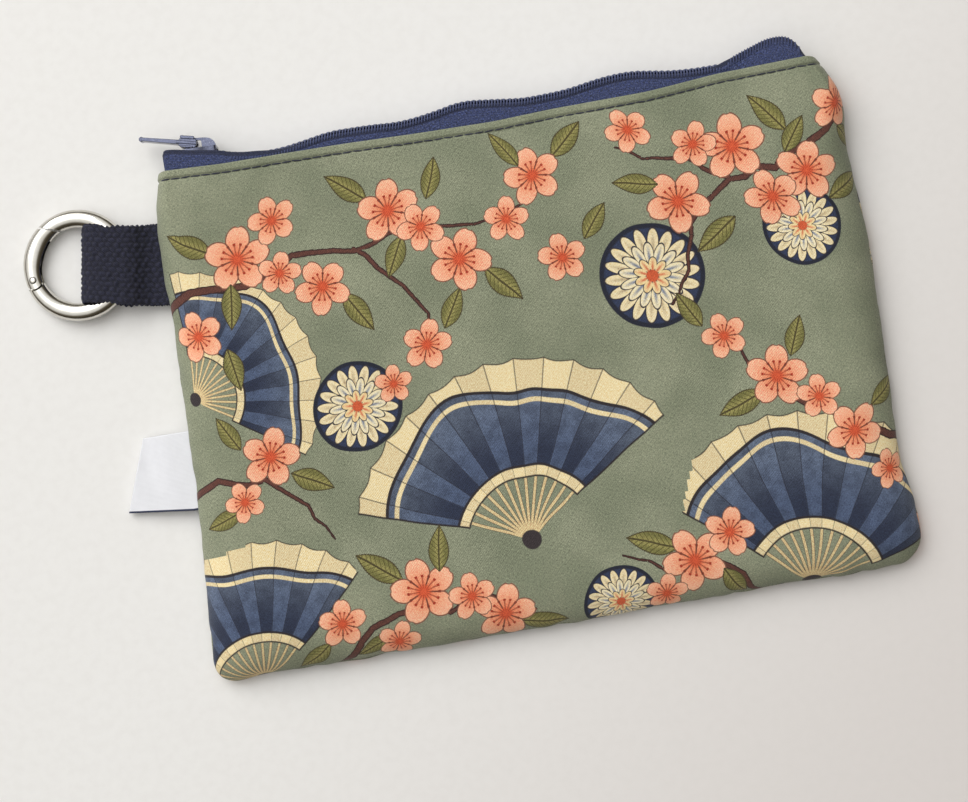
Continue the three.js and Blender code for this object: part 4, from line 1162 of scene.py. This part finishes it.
def pull_tab(material, width):
    """The pull in side view about its pin: a thin tab with a round rim at its end, and on each side
    of the bail a knuckle of three flanges, each a prism."""
    half, inside = PULL_HALF_WIDTH, 1.05 * MM
    turn = np.linspace(0, math.tau, 24, endpoint=False)
    circle = np.stack([np.cos(turn), np.sin(turn)], -1)
    end = -PULL_REACH + 0.8 * MM
    tab = np.array([(end, -0.46 * MM), (-3.2 * MM, -0.58 * MM), (-3.2 * MM, 0.58 * MM), (end, 0.46 * MM)])
    shells = [prism(tab, -half + 0.4 * MM, half - 0.4 * MM),
              prism(circle * 0.66 * MM + np.array([end, 0]), -half + 0.8 * MM, half - 0.8 * MM),
              prism(circle * 0.4 * MM, -half + 0.2 * MM, half - 0.2 * MM)]
    # (left, right, low, high, corner radius) and how far past the tab's side, in millimetres
    flanges = [((-3.6, 1.2, -1.25, 1.15, 0.9), -0.35), ((-3.2, 0.5, 0.95, 1.75, 0.3), 0.1),
               ((-4.2, 1.3, -0.38, 0.38, 0.3), 0.1), ((-2.9, 0.3, -1.3, -0.8, 0.2), 0.0)]
    for side in (-1, 1):
        for box, past in flanges:
            low, high = sorted((side * inside, side * (half + past * MM)))
            shells.append(prism(round_box(*(number * MM for number in box)), low, high))
    points, faces = joined(shells)
    x, y = rotated(-PULL_LIFT, points[:, 0], points[:, 1])
    points = np.stack([x + PULL_PIN_AT[0], y + PULL_PIN_AT[1], points[:, 2] + ZIP_MID_Z], -1)
    piece = new_piece("pull_tab", points, faces, material, "pull")
    round_edges(piece, width)
    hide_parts("slider_pull")


# The webbing loop, the ring and the label

def loop_to_frame(points):
    """Points in the loop's own frame, turned and moved to where the loop leaves the seam."""
    x, y = rotated(LOOP_TURN, points[..., 0], points[..., 1])
    return np.stack([x + LOOP_AT[0], y + LOOP_AT[1], points[..., 2] + LOOP_AT[2]], -1)


def webbing_path():
    """The webbing's outer face in side view, from the seam over the ring's wire, round the fold and
    back under it, at even steps."""
    thick, wire, fold = WEBBING / MM, LOOP_AXIS_X / MM, -LOOP_LENGTH / MM
    low, high, top = SEAM_HEIGHT / MM - thick, SEAM_HEIGHT / MM + thick, 6.15 + thick
    start = np.array([[5, high], [2.5, high], [0, high]])
    over = bezier((0, high), (wire / 2, high), (wire / 2, top), (wire, top), 24)
    turn = bezier((wire, top), (wire - 6, top), (fold, top - 0.4), (fold, 2.6), 24)
    under = bezier((fold, 2.6), (fold, 0.6), (fold + 1.2, 0), (fold + 3, 0), 16)
    back = bezier((wire + 2, 0), (wire + 5, 0), (-3, low), (0, low), 24)
    end = [[2.5, low], [5, low]]
    line = np.concatenate([start, over, turn, under, [[wire + 2, 0]], back, end]) * MM
    way = np.concatenate([[0], np.cumsum(np.linalg.norm(np.diff(line, axis=0), axis=1))])
    even = np.linspace(0, way[-1], 261)
    return np.stack([np.interp(even, way, line[:, k]) for k in (0, 1)], -1), even


def webbing_loop(material, width, yarn):
    """The folded webbing: a band whose both faces are raised by its weave. Yarns run along it in
    columns, each a row of swells, and the next column's swells lie half a step on."""
    line, way = webbing_path()
    ahead = unit(np.gradient(line, axis=0))
    inward = np.stack([-ahead[:, 1], ahead[:, 0]], -1)
    if inward[60] @ (line[130] - line[60]) < 0:
        inward = -inward
    v = np.linspace(-0.5, 0.5, 105) * width
    along, aside = way[:, None] + 0 * v[None], v[None] + 0 * way[:, None]
    column = (aside + 0.1 * MM * ripple(along, aside, 3.1 * MM, 52, 9)) / yarn
    turn = (along + 0.13 * MM * ripple(along, aside, 2.7 * MM, 53, 9)) / (0.95 * MM)
    turn = turn + np.floor(column + 0.5) % 2
    weave = np.abs(np.cos(column * math.pi)) ** 0.8 * np.abs(np.sin(turn * math.pi / 2)) ** 1.1
    uneven = ripple(along, aside, 2.2 * MM, 51, 12)
    shape = (0.32 * weave + 0.07 * uneven) * MM
    selvedge = 0.5 * MM
    edge = np.clip((np.abs(v) - (width / 2 - selvedge)) / selvedge, 0, 1)
    thin = 0.42 * MM * (1 - np.sqrt(1 - edge ** 2))[None]
    scallop = 0.22 * MM * np.sin(way / (0.7 * MM) * math.pi) + 0.12 * MM * ripple(way, 0 * way, 5 * MM, 6)
    pull = 0.17 * MM * ripple(way, 0 * way, 21 * MM, 3)
    flare = 1.01 + 0.055 * smooth(line[:, 0], -14 * MM, 0)
    y = pull[:, None] - v[None] * flare[:, None] - np.sign(v)[None] * scallop[:, None] * edge[None]
    out_depth = 0.12 * MM + thin - shape
    in_depth = WEBBING - thin - 0.05 * MM + shape * 0.25

    def face(depth):
        return np.stack([line[:, None, 0] + inward[:, None, 0] * depth, y,
                         line[:, None, 1] + inward[:, None, 1] * depth], -1)

    outer, inner = loop_to_frame(face(out_depth)), loop_to_frame(face(in_depth))
    outer[..., 2] = np.maximum(outer[..., 2], 0.0)
    vertices, faces = shell(outer, inner)
    piece = new_piece("webbing", vertices, faces, material, None)
    flat = np.stack([along, aside], -1).reshape(-1, 2)
    set_uv(piece, np.concatenate([flat, flat]) / MM)
    # The weave's height is stored for the shader, which paints shade where the yarns dip.
    depth = np.repeat(np.tile(weave.ravel(), 2), 4).astype(np.float32)
    piece.data.attributes.new("weave", "FLOAT_COLOR", "POINT").data.foreach_set("color", depth)
    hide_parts("webbing_loop")
    return piece


def ring_to_frame(points):
    """Points in the ring's own frame: it lies tilted in the loop, and its far side rests on the table."""
    x, z = rotated(-RING_TILT, points[..., 0], points[..., 2])
    middle_x = LOOP_AXIS_X - RING_RADIUS * math.cos(RING_TILT)
    middle_z = RING_FLOOR_Z + RING_RADIUS * math.sin(RING_TILT)
    return loop_to_frame(np.stack([x + middle_x, points[..., 1], z + middle_z], -1))


def latch_angle(offset, gap):
    """Where the slanting joint crosses the wire at each distance from its middle line."""
    at, slant = math.radians(LATCH_DEG), math.radians(LATCH_SLANT_DEG)
    dx, dy = math.cos(slant), math.sin(slant)
    px = RING_RADIUS * math.cos(at) + gap * dy
    py = RING_RADIUS * math.sin(at) - gap * dx
    along = px * dx + py * dy
    t = -along + np.sqrt(np.maximum(along ** 2 - px ** 2 - py ** 2 + (RING_RADIUS + offset) ** 2, 0))
    return np.arctan2(py + t * dy, px + t * dx)


def pin_place():
    """Where the gate's hinge pin goes through the ring's middle plane."""
    a = math.radians(GATE_PIN_DEG)
    return RING_RADIUS * math.cos(a), RING_RADIUS * math.sin(a)


def ring_sweep(angle_from, angle_to, steps, swell=0.0, sides=40):
    """A slightly flattened wire bent about the ring's centre. Its two ends are given as an angle for
    each point of its section, so that they may slant or be rounded. Its inner side swells by a
    share that rises to the middle of its length as the square of a sine."""
    turn = np.arange(sides) * math.tau / sides
    offset, lift = RING_BROAD / 2 * np.cos(turn), RING_WIRE / 2 * np.sin(turn)
    t = np.linspace(0, 1, steps)[:, None]
    angle = angle_from(offset)[None] * (1 - t) + angle_to(offset)[None] * t
    radius = RING_RADIUS + offset[None] + swell * np.sin(math.pi * t) ** 2 * np.minimum(offset, 0)[None]
    return np.stack([radius * np.cos(angle), radius * np.sin(angle), lift[None] + 0 * angle], -1)


def hinge_angle(offset, radius):
    """Where a circle about the hinge pin crosses the wire at each distance from its middle line."""
    reach = RING_RADIUS + offset
    cosine = (reach ** 2 + RING_RADIUS ** 2 - radius ** 2) / (2 * reach * RING_RADIUS)
    return math.radians(GATE_PIN_DEG) + np.arccos(np.clip(cosine, -1, 1))


def carve(piece, cutters):
    """Cuts closed meshes out of a piece for good."""
    for cutter in cutters:
        step = piece.modifiers.new("carve", "BOOLEAN")
        step.operation, step.object, step.solver = "DIFFERENCE", cutter, "EXACT"
    graph = bpy.context.evaluated_depsgraph_get()
    mesh = bpy.data.meshes.new_from_object(piece.evaluated_get(graph))
    piece.modifiers.clear()
    piece.data = mesh
    for cutter in cutters:
        bpy.data.objects.remove(cutter)


def cutter_from(points, faces):
    """A closed mesh to cut with, which is gone when the cut is made."""
    mesh = bpy.data.meshes.new("cutter")
    mesh.from_pydata(points.tolist(), [], [corners for group in faces for corners in group.tolist()])
    cutter = bpy.data.objects.new("cutter", mesh)
    bpy.context.scene.collection.objects.link(cutter)
    return cutter


def pin_rod(radius, half_length, dome=0.0):
    """A round rod through the hinge, with slightly domed ends where a dome is given."""
    px, py = pin_place()
    turn = np.arange(32) * math.tau / 32
    levels = [(half_length, 1.0)]
    if dome:
        levels += [(half_length + 0.6 * dome, 0.82), (half_length + dome, 0.45)]
    levels = [(-z, k) for z, k in levels[::-1]] + levels
    sections = np.stack([np.stack([px + radius * k * np.cos(turn), py + radius * k * np.sin(turn),
                                   z + 0 * turn], -1) for z, k in levels])
    return tube(ring_to_frame(sections))


def ring_slab(angle_from, angle_to, half_thick, low_r, high_r):
    """A curved slab in the ring's middle plane, for the hinge's tongue and for the slot it sits in."""
    a = np.radians(np.linspace(angle_from, angle_to, 24))
    corners = [(low_r, -half_thick), (high_r, -half_thick), (high_r, half_thick), (low_r, half_thick)]
    sections = np.stack([np.stack([(RING_RADIUS + r) * np.cos(a), (RING_RADIUS + r) * np.sin(a),
                                   z + 0 * a], -1) for r, z in corners], 1)
    return tube(ring_to_frame(sections))


def ring_pieces(material):
    """The ring's open wire with its tongue, the gate with its slot, the rivet and the leaf spring."""
    knuckle = RING_RADIUS * math.radians(GATE_TO_DEG - GATE_PIN_DEG)
    sections = ring_sweep(lambda offset: latch_angle(offset, 0.0),
                          lambda offset: hinge_angle(offset, knuckle) - math.tau, 150)
    vertices, faces = tube(ring_to_frame(sections))
    body = new_piece("ring_wire", vertices, faces, material, "ring")
    vertices, faces = ring_slab(GATE_PIN_DEG - 6, GATE_TO_DEG + 4, 0.65 * MM, -1.6 * MM, 1.6 * MM)
    tongue = new_piece("ring_tongue", vertices, faces, material, "ring", smooth_faces=False)
    sections = ring_sweep(lambda offset: latch_angle(offset, -GATE_GAP),
                          lambda offset: hinge_angle(offset, knuckle - GATE_GAP), 64, swell=0.22)
    vertices, faces = tube(ring_to_frame(sections))
    gate = new_piece("ring_latch", vertices, faces, material, "gate")
    groove = cutter_from(*ring_slab(LATCH_DEG + 11, GATE_PIN_DEG - 14, 0.8 * MM, -3.5 * MM, -0.5 * MM))
    slot = cutter_from(*ring_slab(GATE_PIN_DEG - 19, GATE_TO_DEG + 10, 0.95 * MM, -3.5 * MM, 3.5 * MM))
    carve(gate, [slot, groove, cutter_from(*pin_rod(0.95 * MM, 4 * MM))])
    carve(tongue, [cutter_from(*pin_rod(0.95 * MM, 4 * MM))])
    vertices, faces = pin_rod(0.75 * MM, 2.0 * MM, dome=0.14 * MM)
    rivet = new_piece("ring_rivet", vertices, faces, material, "ring")
    vertices, faces = ring_slab(GATE_PIN_DEG - 17, GATE_PIN_DEG - 10, 0.35 * MM, -0.3 * MM, 0.3 * MM)
    spring = new_piece("latch_spring", vertices, faces, material, "gate", smooth_faces=False)
    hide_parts("ring_body")
    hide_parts("ring_gate")
    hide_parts("gate_pin")
    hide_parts("gate_spring")
    for piece in (body, tongue, gate, rivet, spring):
        piece.data.set_sharp_from_angle(angle=math.radians(38))


def label_ribbon(material):
    """The folded label: a satin ribbon's section, two layers and a round fold, carried down its
    width. It reaches further at its lower edge, droops towards its fold and waves a little."""
    gap, thick, steps = 0.3 * MM, 0.3 * MM, 60
    root, reach = 4 * MM, 17.6 * MM
    half = gap / 2 + thick
    flat = np.linspace(root, -reach + half, steps)
    bend = np.linspace(math.pi / 2, 1.5 * math.pi, 17)[1:-1]
    outer = np.concatenate([np.stack([flat, 0 * flat + half], -1),
                            np.stack([-reach + half + half * np.cos(bend), half * np.sin(bend)], -1),
                            np.stack([flat[::-1], 0 * flat - half], -1)])
    inner = outer.copy()
    place = np.arange(len(outer))
    lay = (place < steps) * 1.0 - (place >= len(outer) - steps)
    inner[:, 1] -= lay * thick
    mid = lay == 0
    inner[mid, 0] = -reach + half + (half - thick) * np.cos(bend)
    inner[mid, 1] = (half - thick) * np.sin(bend)
    down = np.linspace(0, 1, 61)[None]
    way = np.concatenate([[0], np.cumsum(np.linalg.norm(np.diff(outer, axis=0), axis=1))])

    def face(section):
        x, z = section[:, None, 0], section[:, None, 1]
        top, bottom = 10.4 * MM, 17.1 * MM
        scale = (top + (bottom - top) * down) / reach
        out = np.clip(-x / reach, 0, None)
        sag = 1.2 * MM * smooth(out, 0.2, 1)
        wave = 0.22 * MM * ripple(x + 0 * down, down * LABEL_WIDTH, 15 * MM, 9) * np.clip(out, 0, 1)
        xs = np.where(x < 0, x * scale, x + 0 * down)
        ys = LABEL_TOP_Y - down * LABEL_WIDTH + down * (2.0 * MM * out - 0.7 * MM)
        zs = SEAM_HEIGHT + z - sag + wave
        return np.stack([xs - half_width(np.array(LABEL_TOP_Y)) - SEAT_GAP, ys, zs], -1)

    vertices, faces = shell(face(outer), face(inner))
    piece = new_piece("label_ribbon", vertices, faces, material, "pouch")
    flat_uv = np.stack(np.broadcast_arrays(way[:, None], down * LABEL_WIDTH), -1).reshape(-1, 2)
    set_uv(piece, np.concatenate([flat_uv, flat_uv]) / MM)
    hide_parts("label_tag")


# Stage

def floor_finish():
    """A pale matt floor with a faint grain, and painted shade that makes it a little darker towards its
    lower right corner, away from the lamp.
    """
    ink = Finish("floor", Roughness=0.9)
    spot = ink.place()
    x, y, _ = ink.split(spot)
    grain = ink.noise(spot, 0.4, 4.0)
    # Painted shade: the floor darkens towards the lower right, away from the lamp.
    tone = ink.mix((y * 0.5 - x * 0.6).rises(-130.0, 40.0), paint(218, 213, 210), paint(234, 233, 231))
    tone = ink.mix(grain.rises(0.3, 0.8) * 0.12, tone, paint(206, 202, 198))
    return ink.finish(tone)


def lay_floor(size):
    """A square floor just below the object's lowest point."""
    mesh = bpy.data.meshes.new("floor")
    half, z = size / 2, -0.3 * MM
    corners = [(-half, -half, z), (half, -half, z), (half, half, z), (-half, half, z)]
    mesh.from_pydata(corners, [], [(0, 1, 2, 3)])
    mesh.materials.append(floor_finish())
    floor = bpy.data.objects.new("floor", mesh)
    bpy.context.scene.collection.objects.link(floor)


def add_lamp(name, place, aim, size, power, colour):
    """A large soft square lamp turned to face a point."""
    data = bpy.data.lights.new(name, "AREA")
    data.shape, data.size, data.energy, data.color = "SQUARE", size, power, colour
    lamp = bpy.data.objects.new(name, data)
    bpy.context.scene.collection.objects.link(lamp)
    place = np.array(place, float)
    back = unit(place - np.array(aim, float))
    aside = unit(np.cross([0, 1, 0.01], back))
    upward = np.cross(back, aside)
    turned_matrix = np.eye(4)
    turned_matrix[:3, :3] = np.stack([aside, upward, back], -1)
    turned_matrix[:3, 3] = place
    lamp.matrix_world = Matrix(turned_matrix.tolist())


def light_world(strength):
    """A soft studio round the object: a bright ceiling that reaches down towards the window side,
    and dark walls opposite it. The light is a ramp over the direction's part towards the window."""
    world = bpy.data.worlds.new("studio")
    world.use_nodes = True
    tree = world.node_tree
    tree.nodes.clear()
    place = tree.nodes.new("ShaderNodeTexCoord")
    towards = tree.nodes.new("ShaderNodeVectorMath")
    towards.operation = "DOT_PRODUCT"
    towards.inputs[1].default_value = (-0.34, 0.30, 0.89)
    ramp = tree.nodes.new("ShaderNodeValToRGB")
    shade = tree.nodes.new("ShaderNodeBackground")
    out = tree.nodes.new("ShaderNodeOutputWorld")
    stops = ramp.color_ramp.elements
    stops[0].position, stops[0].color = 0.16, (0.05, 0.042, 0.03, 1)
    stops[1].position, stops[1].color = 0.98, (1.7, 1.7, 1.7, 1)
    stops.new(0.48).color = (0.12, 0.105, 0.08, 1)
    stops.new(0.66).color = (0.58, 0.57, 0.55, 1)
    stops.new(0.9).color = (0.94, 0.94, 0.93, 1)
    tree.links.new(place.outputs["Generated"], towards.inputs[0])
    tree.links.new(towards.outputs["Value"], ramp.inputs[0])
    tree.links.new(ramp.outputs[0], shade.inputs[0])
    shade.inputs[1].default_value = strength
    tree.links.new(shade.outputs[0], out.inputs[0])
    bpy.context.scene.world = world


def place_camera():
    """The camera at the photograph's angle: almost overhead and turned a little. Its focal length
    is 2600 pixels of a picture that is 968 pixels wide."""
    data = bpy.data.cameras.new("camera")
    data.sensor_width = 36
    data.lens = data.sensor_width * 2600 / 968
    camera = bpy.data.objects.new("camera", data)
    camera.location = (-0.68 * MM, -22.57 * MM, 677.62 * MM)
    camera.rotation_euler = (math.radians(1.227), math.radians(1.212), math.radians(-9.185))
    bpy.context.scene.collection.objects.link(camera)
    bpy.context.scene.camera = camera


# Sizes and colours that a user may change

def length_property(name, description, default, least=0.0):
    """A length in metres."""
    return bpy.props.FloatProperty(name=name, description=description, default=default,
                                   min=least, unit="LENGTH")


def colour_property(name, description, default):
    """A linear colour."""
    return bpy.props.FloatVectorProperty(name=name, description=description, default=default,
                                         subtype="COLOR", size=3, min=0, max=1)


class PouchColours(bpy.types.PropertyGroup):
    ground: colour_property("Ground", "Sage ground of the printed cotton", paint(144, 148, 124))
    ground_dark: colour_property("Ground, dark", "Deeper tone of the mottled ground", paint(123, 129, 106))
    lining: colour_property("Lining", "Plain cotton lining", paint(138, 143, 134))
    tape: colour_property("Zip tape", "Woven zip tape", paint(44, 55, 96))
    coil_thread: colour_property("Coil stitching", "Thread that sews the coils on", paint(58, 68, 108))
    coil: colour_property("Zip coil", "Nylon coil of the zip", paint(32, 40, 78))
    slider: colour_property("Slider", "Lacquer of the slider and its pull", paint(100, 104, 124))
    webbing: colour_property("Webbing", "Coarse webbing of the loop", paint(36, 38, 62))
    label: colour_property("Label", "Satin ribbon of the label", paint(224, 225, 230))
    thread: colour_property("Thread", "Topstitching thread", paint(34, 38, 58))


class PouchSizes(bpy.types.PropertyGroup):
    edge_radius: length_property(
        "Metal edges", "How far the edges of the slider and its pull are rounded", 0.16 * MM)
    webbing_width: length_property("Webbing width", "Width of the webbing loop", 19.8 * MM, 1 * MM)
    webbing_yarn: length_property(
        "Yarn pitch", "From one column of yarn in the webbing to the next", 1.25 * MM, 0.5 * MM)
    floor_size: length_property("Floor size", "Side of the square floor", 6.0, 0.5)
    lamp_power: bpy.props.FloatProperty(
        name="Lamp power", description="Power of the soft main lamp", default=7.2, min=0, unit="POWER")
    world_strength: bpy.props.FloatProperty(
        name="Room light", description="Strength of the light from all round", default=1.27, min=0)


class POUCH_OT_cloth(bpy.types.Operator):
    """Builds the printed outer panels and the two linings"""
    bl_idname = "pouch.cloth"
    bl_label = "Outer panels and linings"

    def execute(self, context):
        colours = context.scene.pouch_colours
        lining = lining_cotton(colours.lining)
        lining_cloth("lining_front_cloth", "lining_front", 1, lining)
        lining_cloth("lining_back_cloth", "lining_back", -1, lining)
        cotton = printed_cotton(colours)
        outer_cloth("front_cloth", "front_panel", 1, cotton, 0.0)
        outer_cloth("back_cloth", "back_panel", -1, cotton, 71.0)
        thread = thread_cotton("stitching", colours.thread)
        fold_stitches("topstitch_front", 1, thread)
        fold_stitches("topstitch_back", -1, thread)
        return {"FINISHED"}


class POUCH_OT_zip(bpy.types.Operator):
    """Builds the zip: its two tapes, its two coils and the thread that sews them on"""
    bl_idname = "pouch.zip"
    bl_label = "Coil zip"

    def execute(self, context):
        colours = context.scene.pouch_colours
        tape, coil = tape_cloth(colours.tape), coil_nylon(colours.coil)
        thread = thread_cotton("coil_stitching", colours.coil_thread)
        for word, side in (("front", 1), ("back", -1)):
            zip_tape(f"zip_tape_{word}_cloth", f"zip_tape_{word}", side, tape)
            zip_coil(f"zip_coil_{word}_wire", f"zip_coil_{word}", side, coil)
            coil_stitching(f"zip_coil_{word}_thread", side, thread)
        return {"FINISHED"}


class POUCH_OT_slider(bpy.types.Operator):
    """Gives the slider and its pull rounded edges and their lacquer"""
    bl_idname = "pouch.slider"
    bl_label = "Slider and pull"

    def execute(self, context):
        scene = context.scene
        lacquer = painted_zinc(scene.pouch_colours.slider)
        slider_shell(lacquer, scene.pouch_sizes.edge_radius)
        pull_tab(lacquer, scene.pouch_sizes.edge_radius * 0.8)
        return {"FINISHED"}


class POUCH_OT_loop(bpy.types.Operator):
    """Builds the webbing loop and the spring-gate ring in it"""
    bl_idname = "pouch.loop"
    bl_label = "Webbing loop and ring"

    def execute(self, context):
        scene = context.scene
        webbing = webbing_loop(webbing_cotton(scene.pouch_colours.webbing),
                               scene.pouch_sizes.webbing_width, scene.pouch_sizes.webbing_yarn)
        start, end = loop_to_frame(np.array([[-1.5 * MM, 0, SEAM_HEIGHT], [-7.5 * MM, 0, SEAM_HEIGHT]]))
        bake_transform(webbing)
        ring_pieces(nickel_plate())
        return {"FINISHED"}


class POUCH_OT_label(bpy.types.Operator):
    """Builds the folded satin label"""
    bl_idname = "pouch.label"
    bl_label = "Label"

    def execute(self, context):
        label_ribbon(label_satin(context.scene.pouch_colours.label))
        return {"FINISHED"}


class POUCH_OT_stage(bpy.types.Operator):
    """Sets the floor, the light and the camera"""
    bl_idname = "pouch.stage"
    bl_label = "Stage"

    def execute(self, context):
        scene = context.scene
        lay_floor(scene.pouch_sizes.floor_size)
        add_lamp("main lamp", (-0.55, 0.75, 0.9), (0, 0, 0), 0.9, scene.pouch_sizes.lamp_power,
                 (1.0, 0.99, 0.97))
        light_world(scene.pouch_sizes.world_strength)
        place_camera()
        scene.view_settings.view_transform = "Standard"
        return {"FINISHED"}


STEPS = (POUCH_OT_cloth, POUCH_OT_zip, POUCH_OT_slider, POUCH_OT_loop, POUCH_OT_label, POUCH_OT_stage)


class POUCH_PT_panel(bpy.types.Panel):
    """Lists the pouch's sizes, colours and steps"""
    bl_label = "Flat zipped pouch"
    bl_idname = "POUCH_PT_panel"
    bl_space_type = "VIEW_3D"
    bl_region_type = "UI"
    bl_category = "Pouch"

    def draw(self, context):
        layout = self.layout
        for group in (context.scene.pouch_sizes, context.scene.pouch_colours):
            for name in group.__annotations__:
                layout.prop(group, name)
        for step in STEPS:
            layout.operator(step.bl_idname)


CLASSES = (PouchColours, PouchSizes, *STEPS, POUCH_PT_panel)


def register():
    for item in CLASSES:
        bpy.utils.register_class(item)
    bpy.types.Scene.pouch_colours = bpy.props.PointerProperty(type=PouchColours)
    bpy.types.Scene.pouch_sizes = bpy.props.PointerProperty(type=PouchSizes)


def unregister():
    del bpy.types.Scene.pouch_sizes
    del bpy.types.Scene.pouch_colours
    for item in reversed(CLASSES):
        bpy.utils.unregister_class(item)


def main():
    register()
    bpy.ops.pouch.cloth()
    bpy.ops.pouch.zip()
    bpy.ops.pouch.slider()
    bpy.ops.pouch.loop()
    bpy.ops.pouch.label()
    bpy.ops.pouch.stage()


if __name__ == "__main__":
    main()
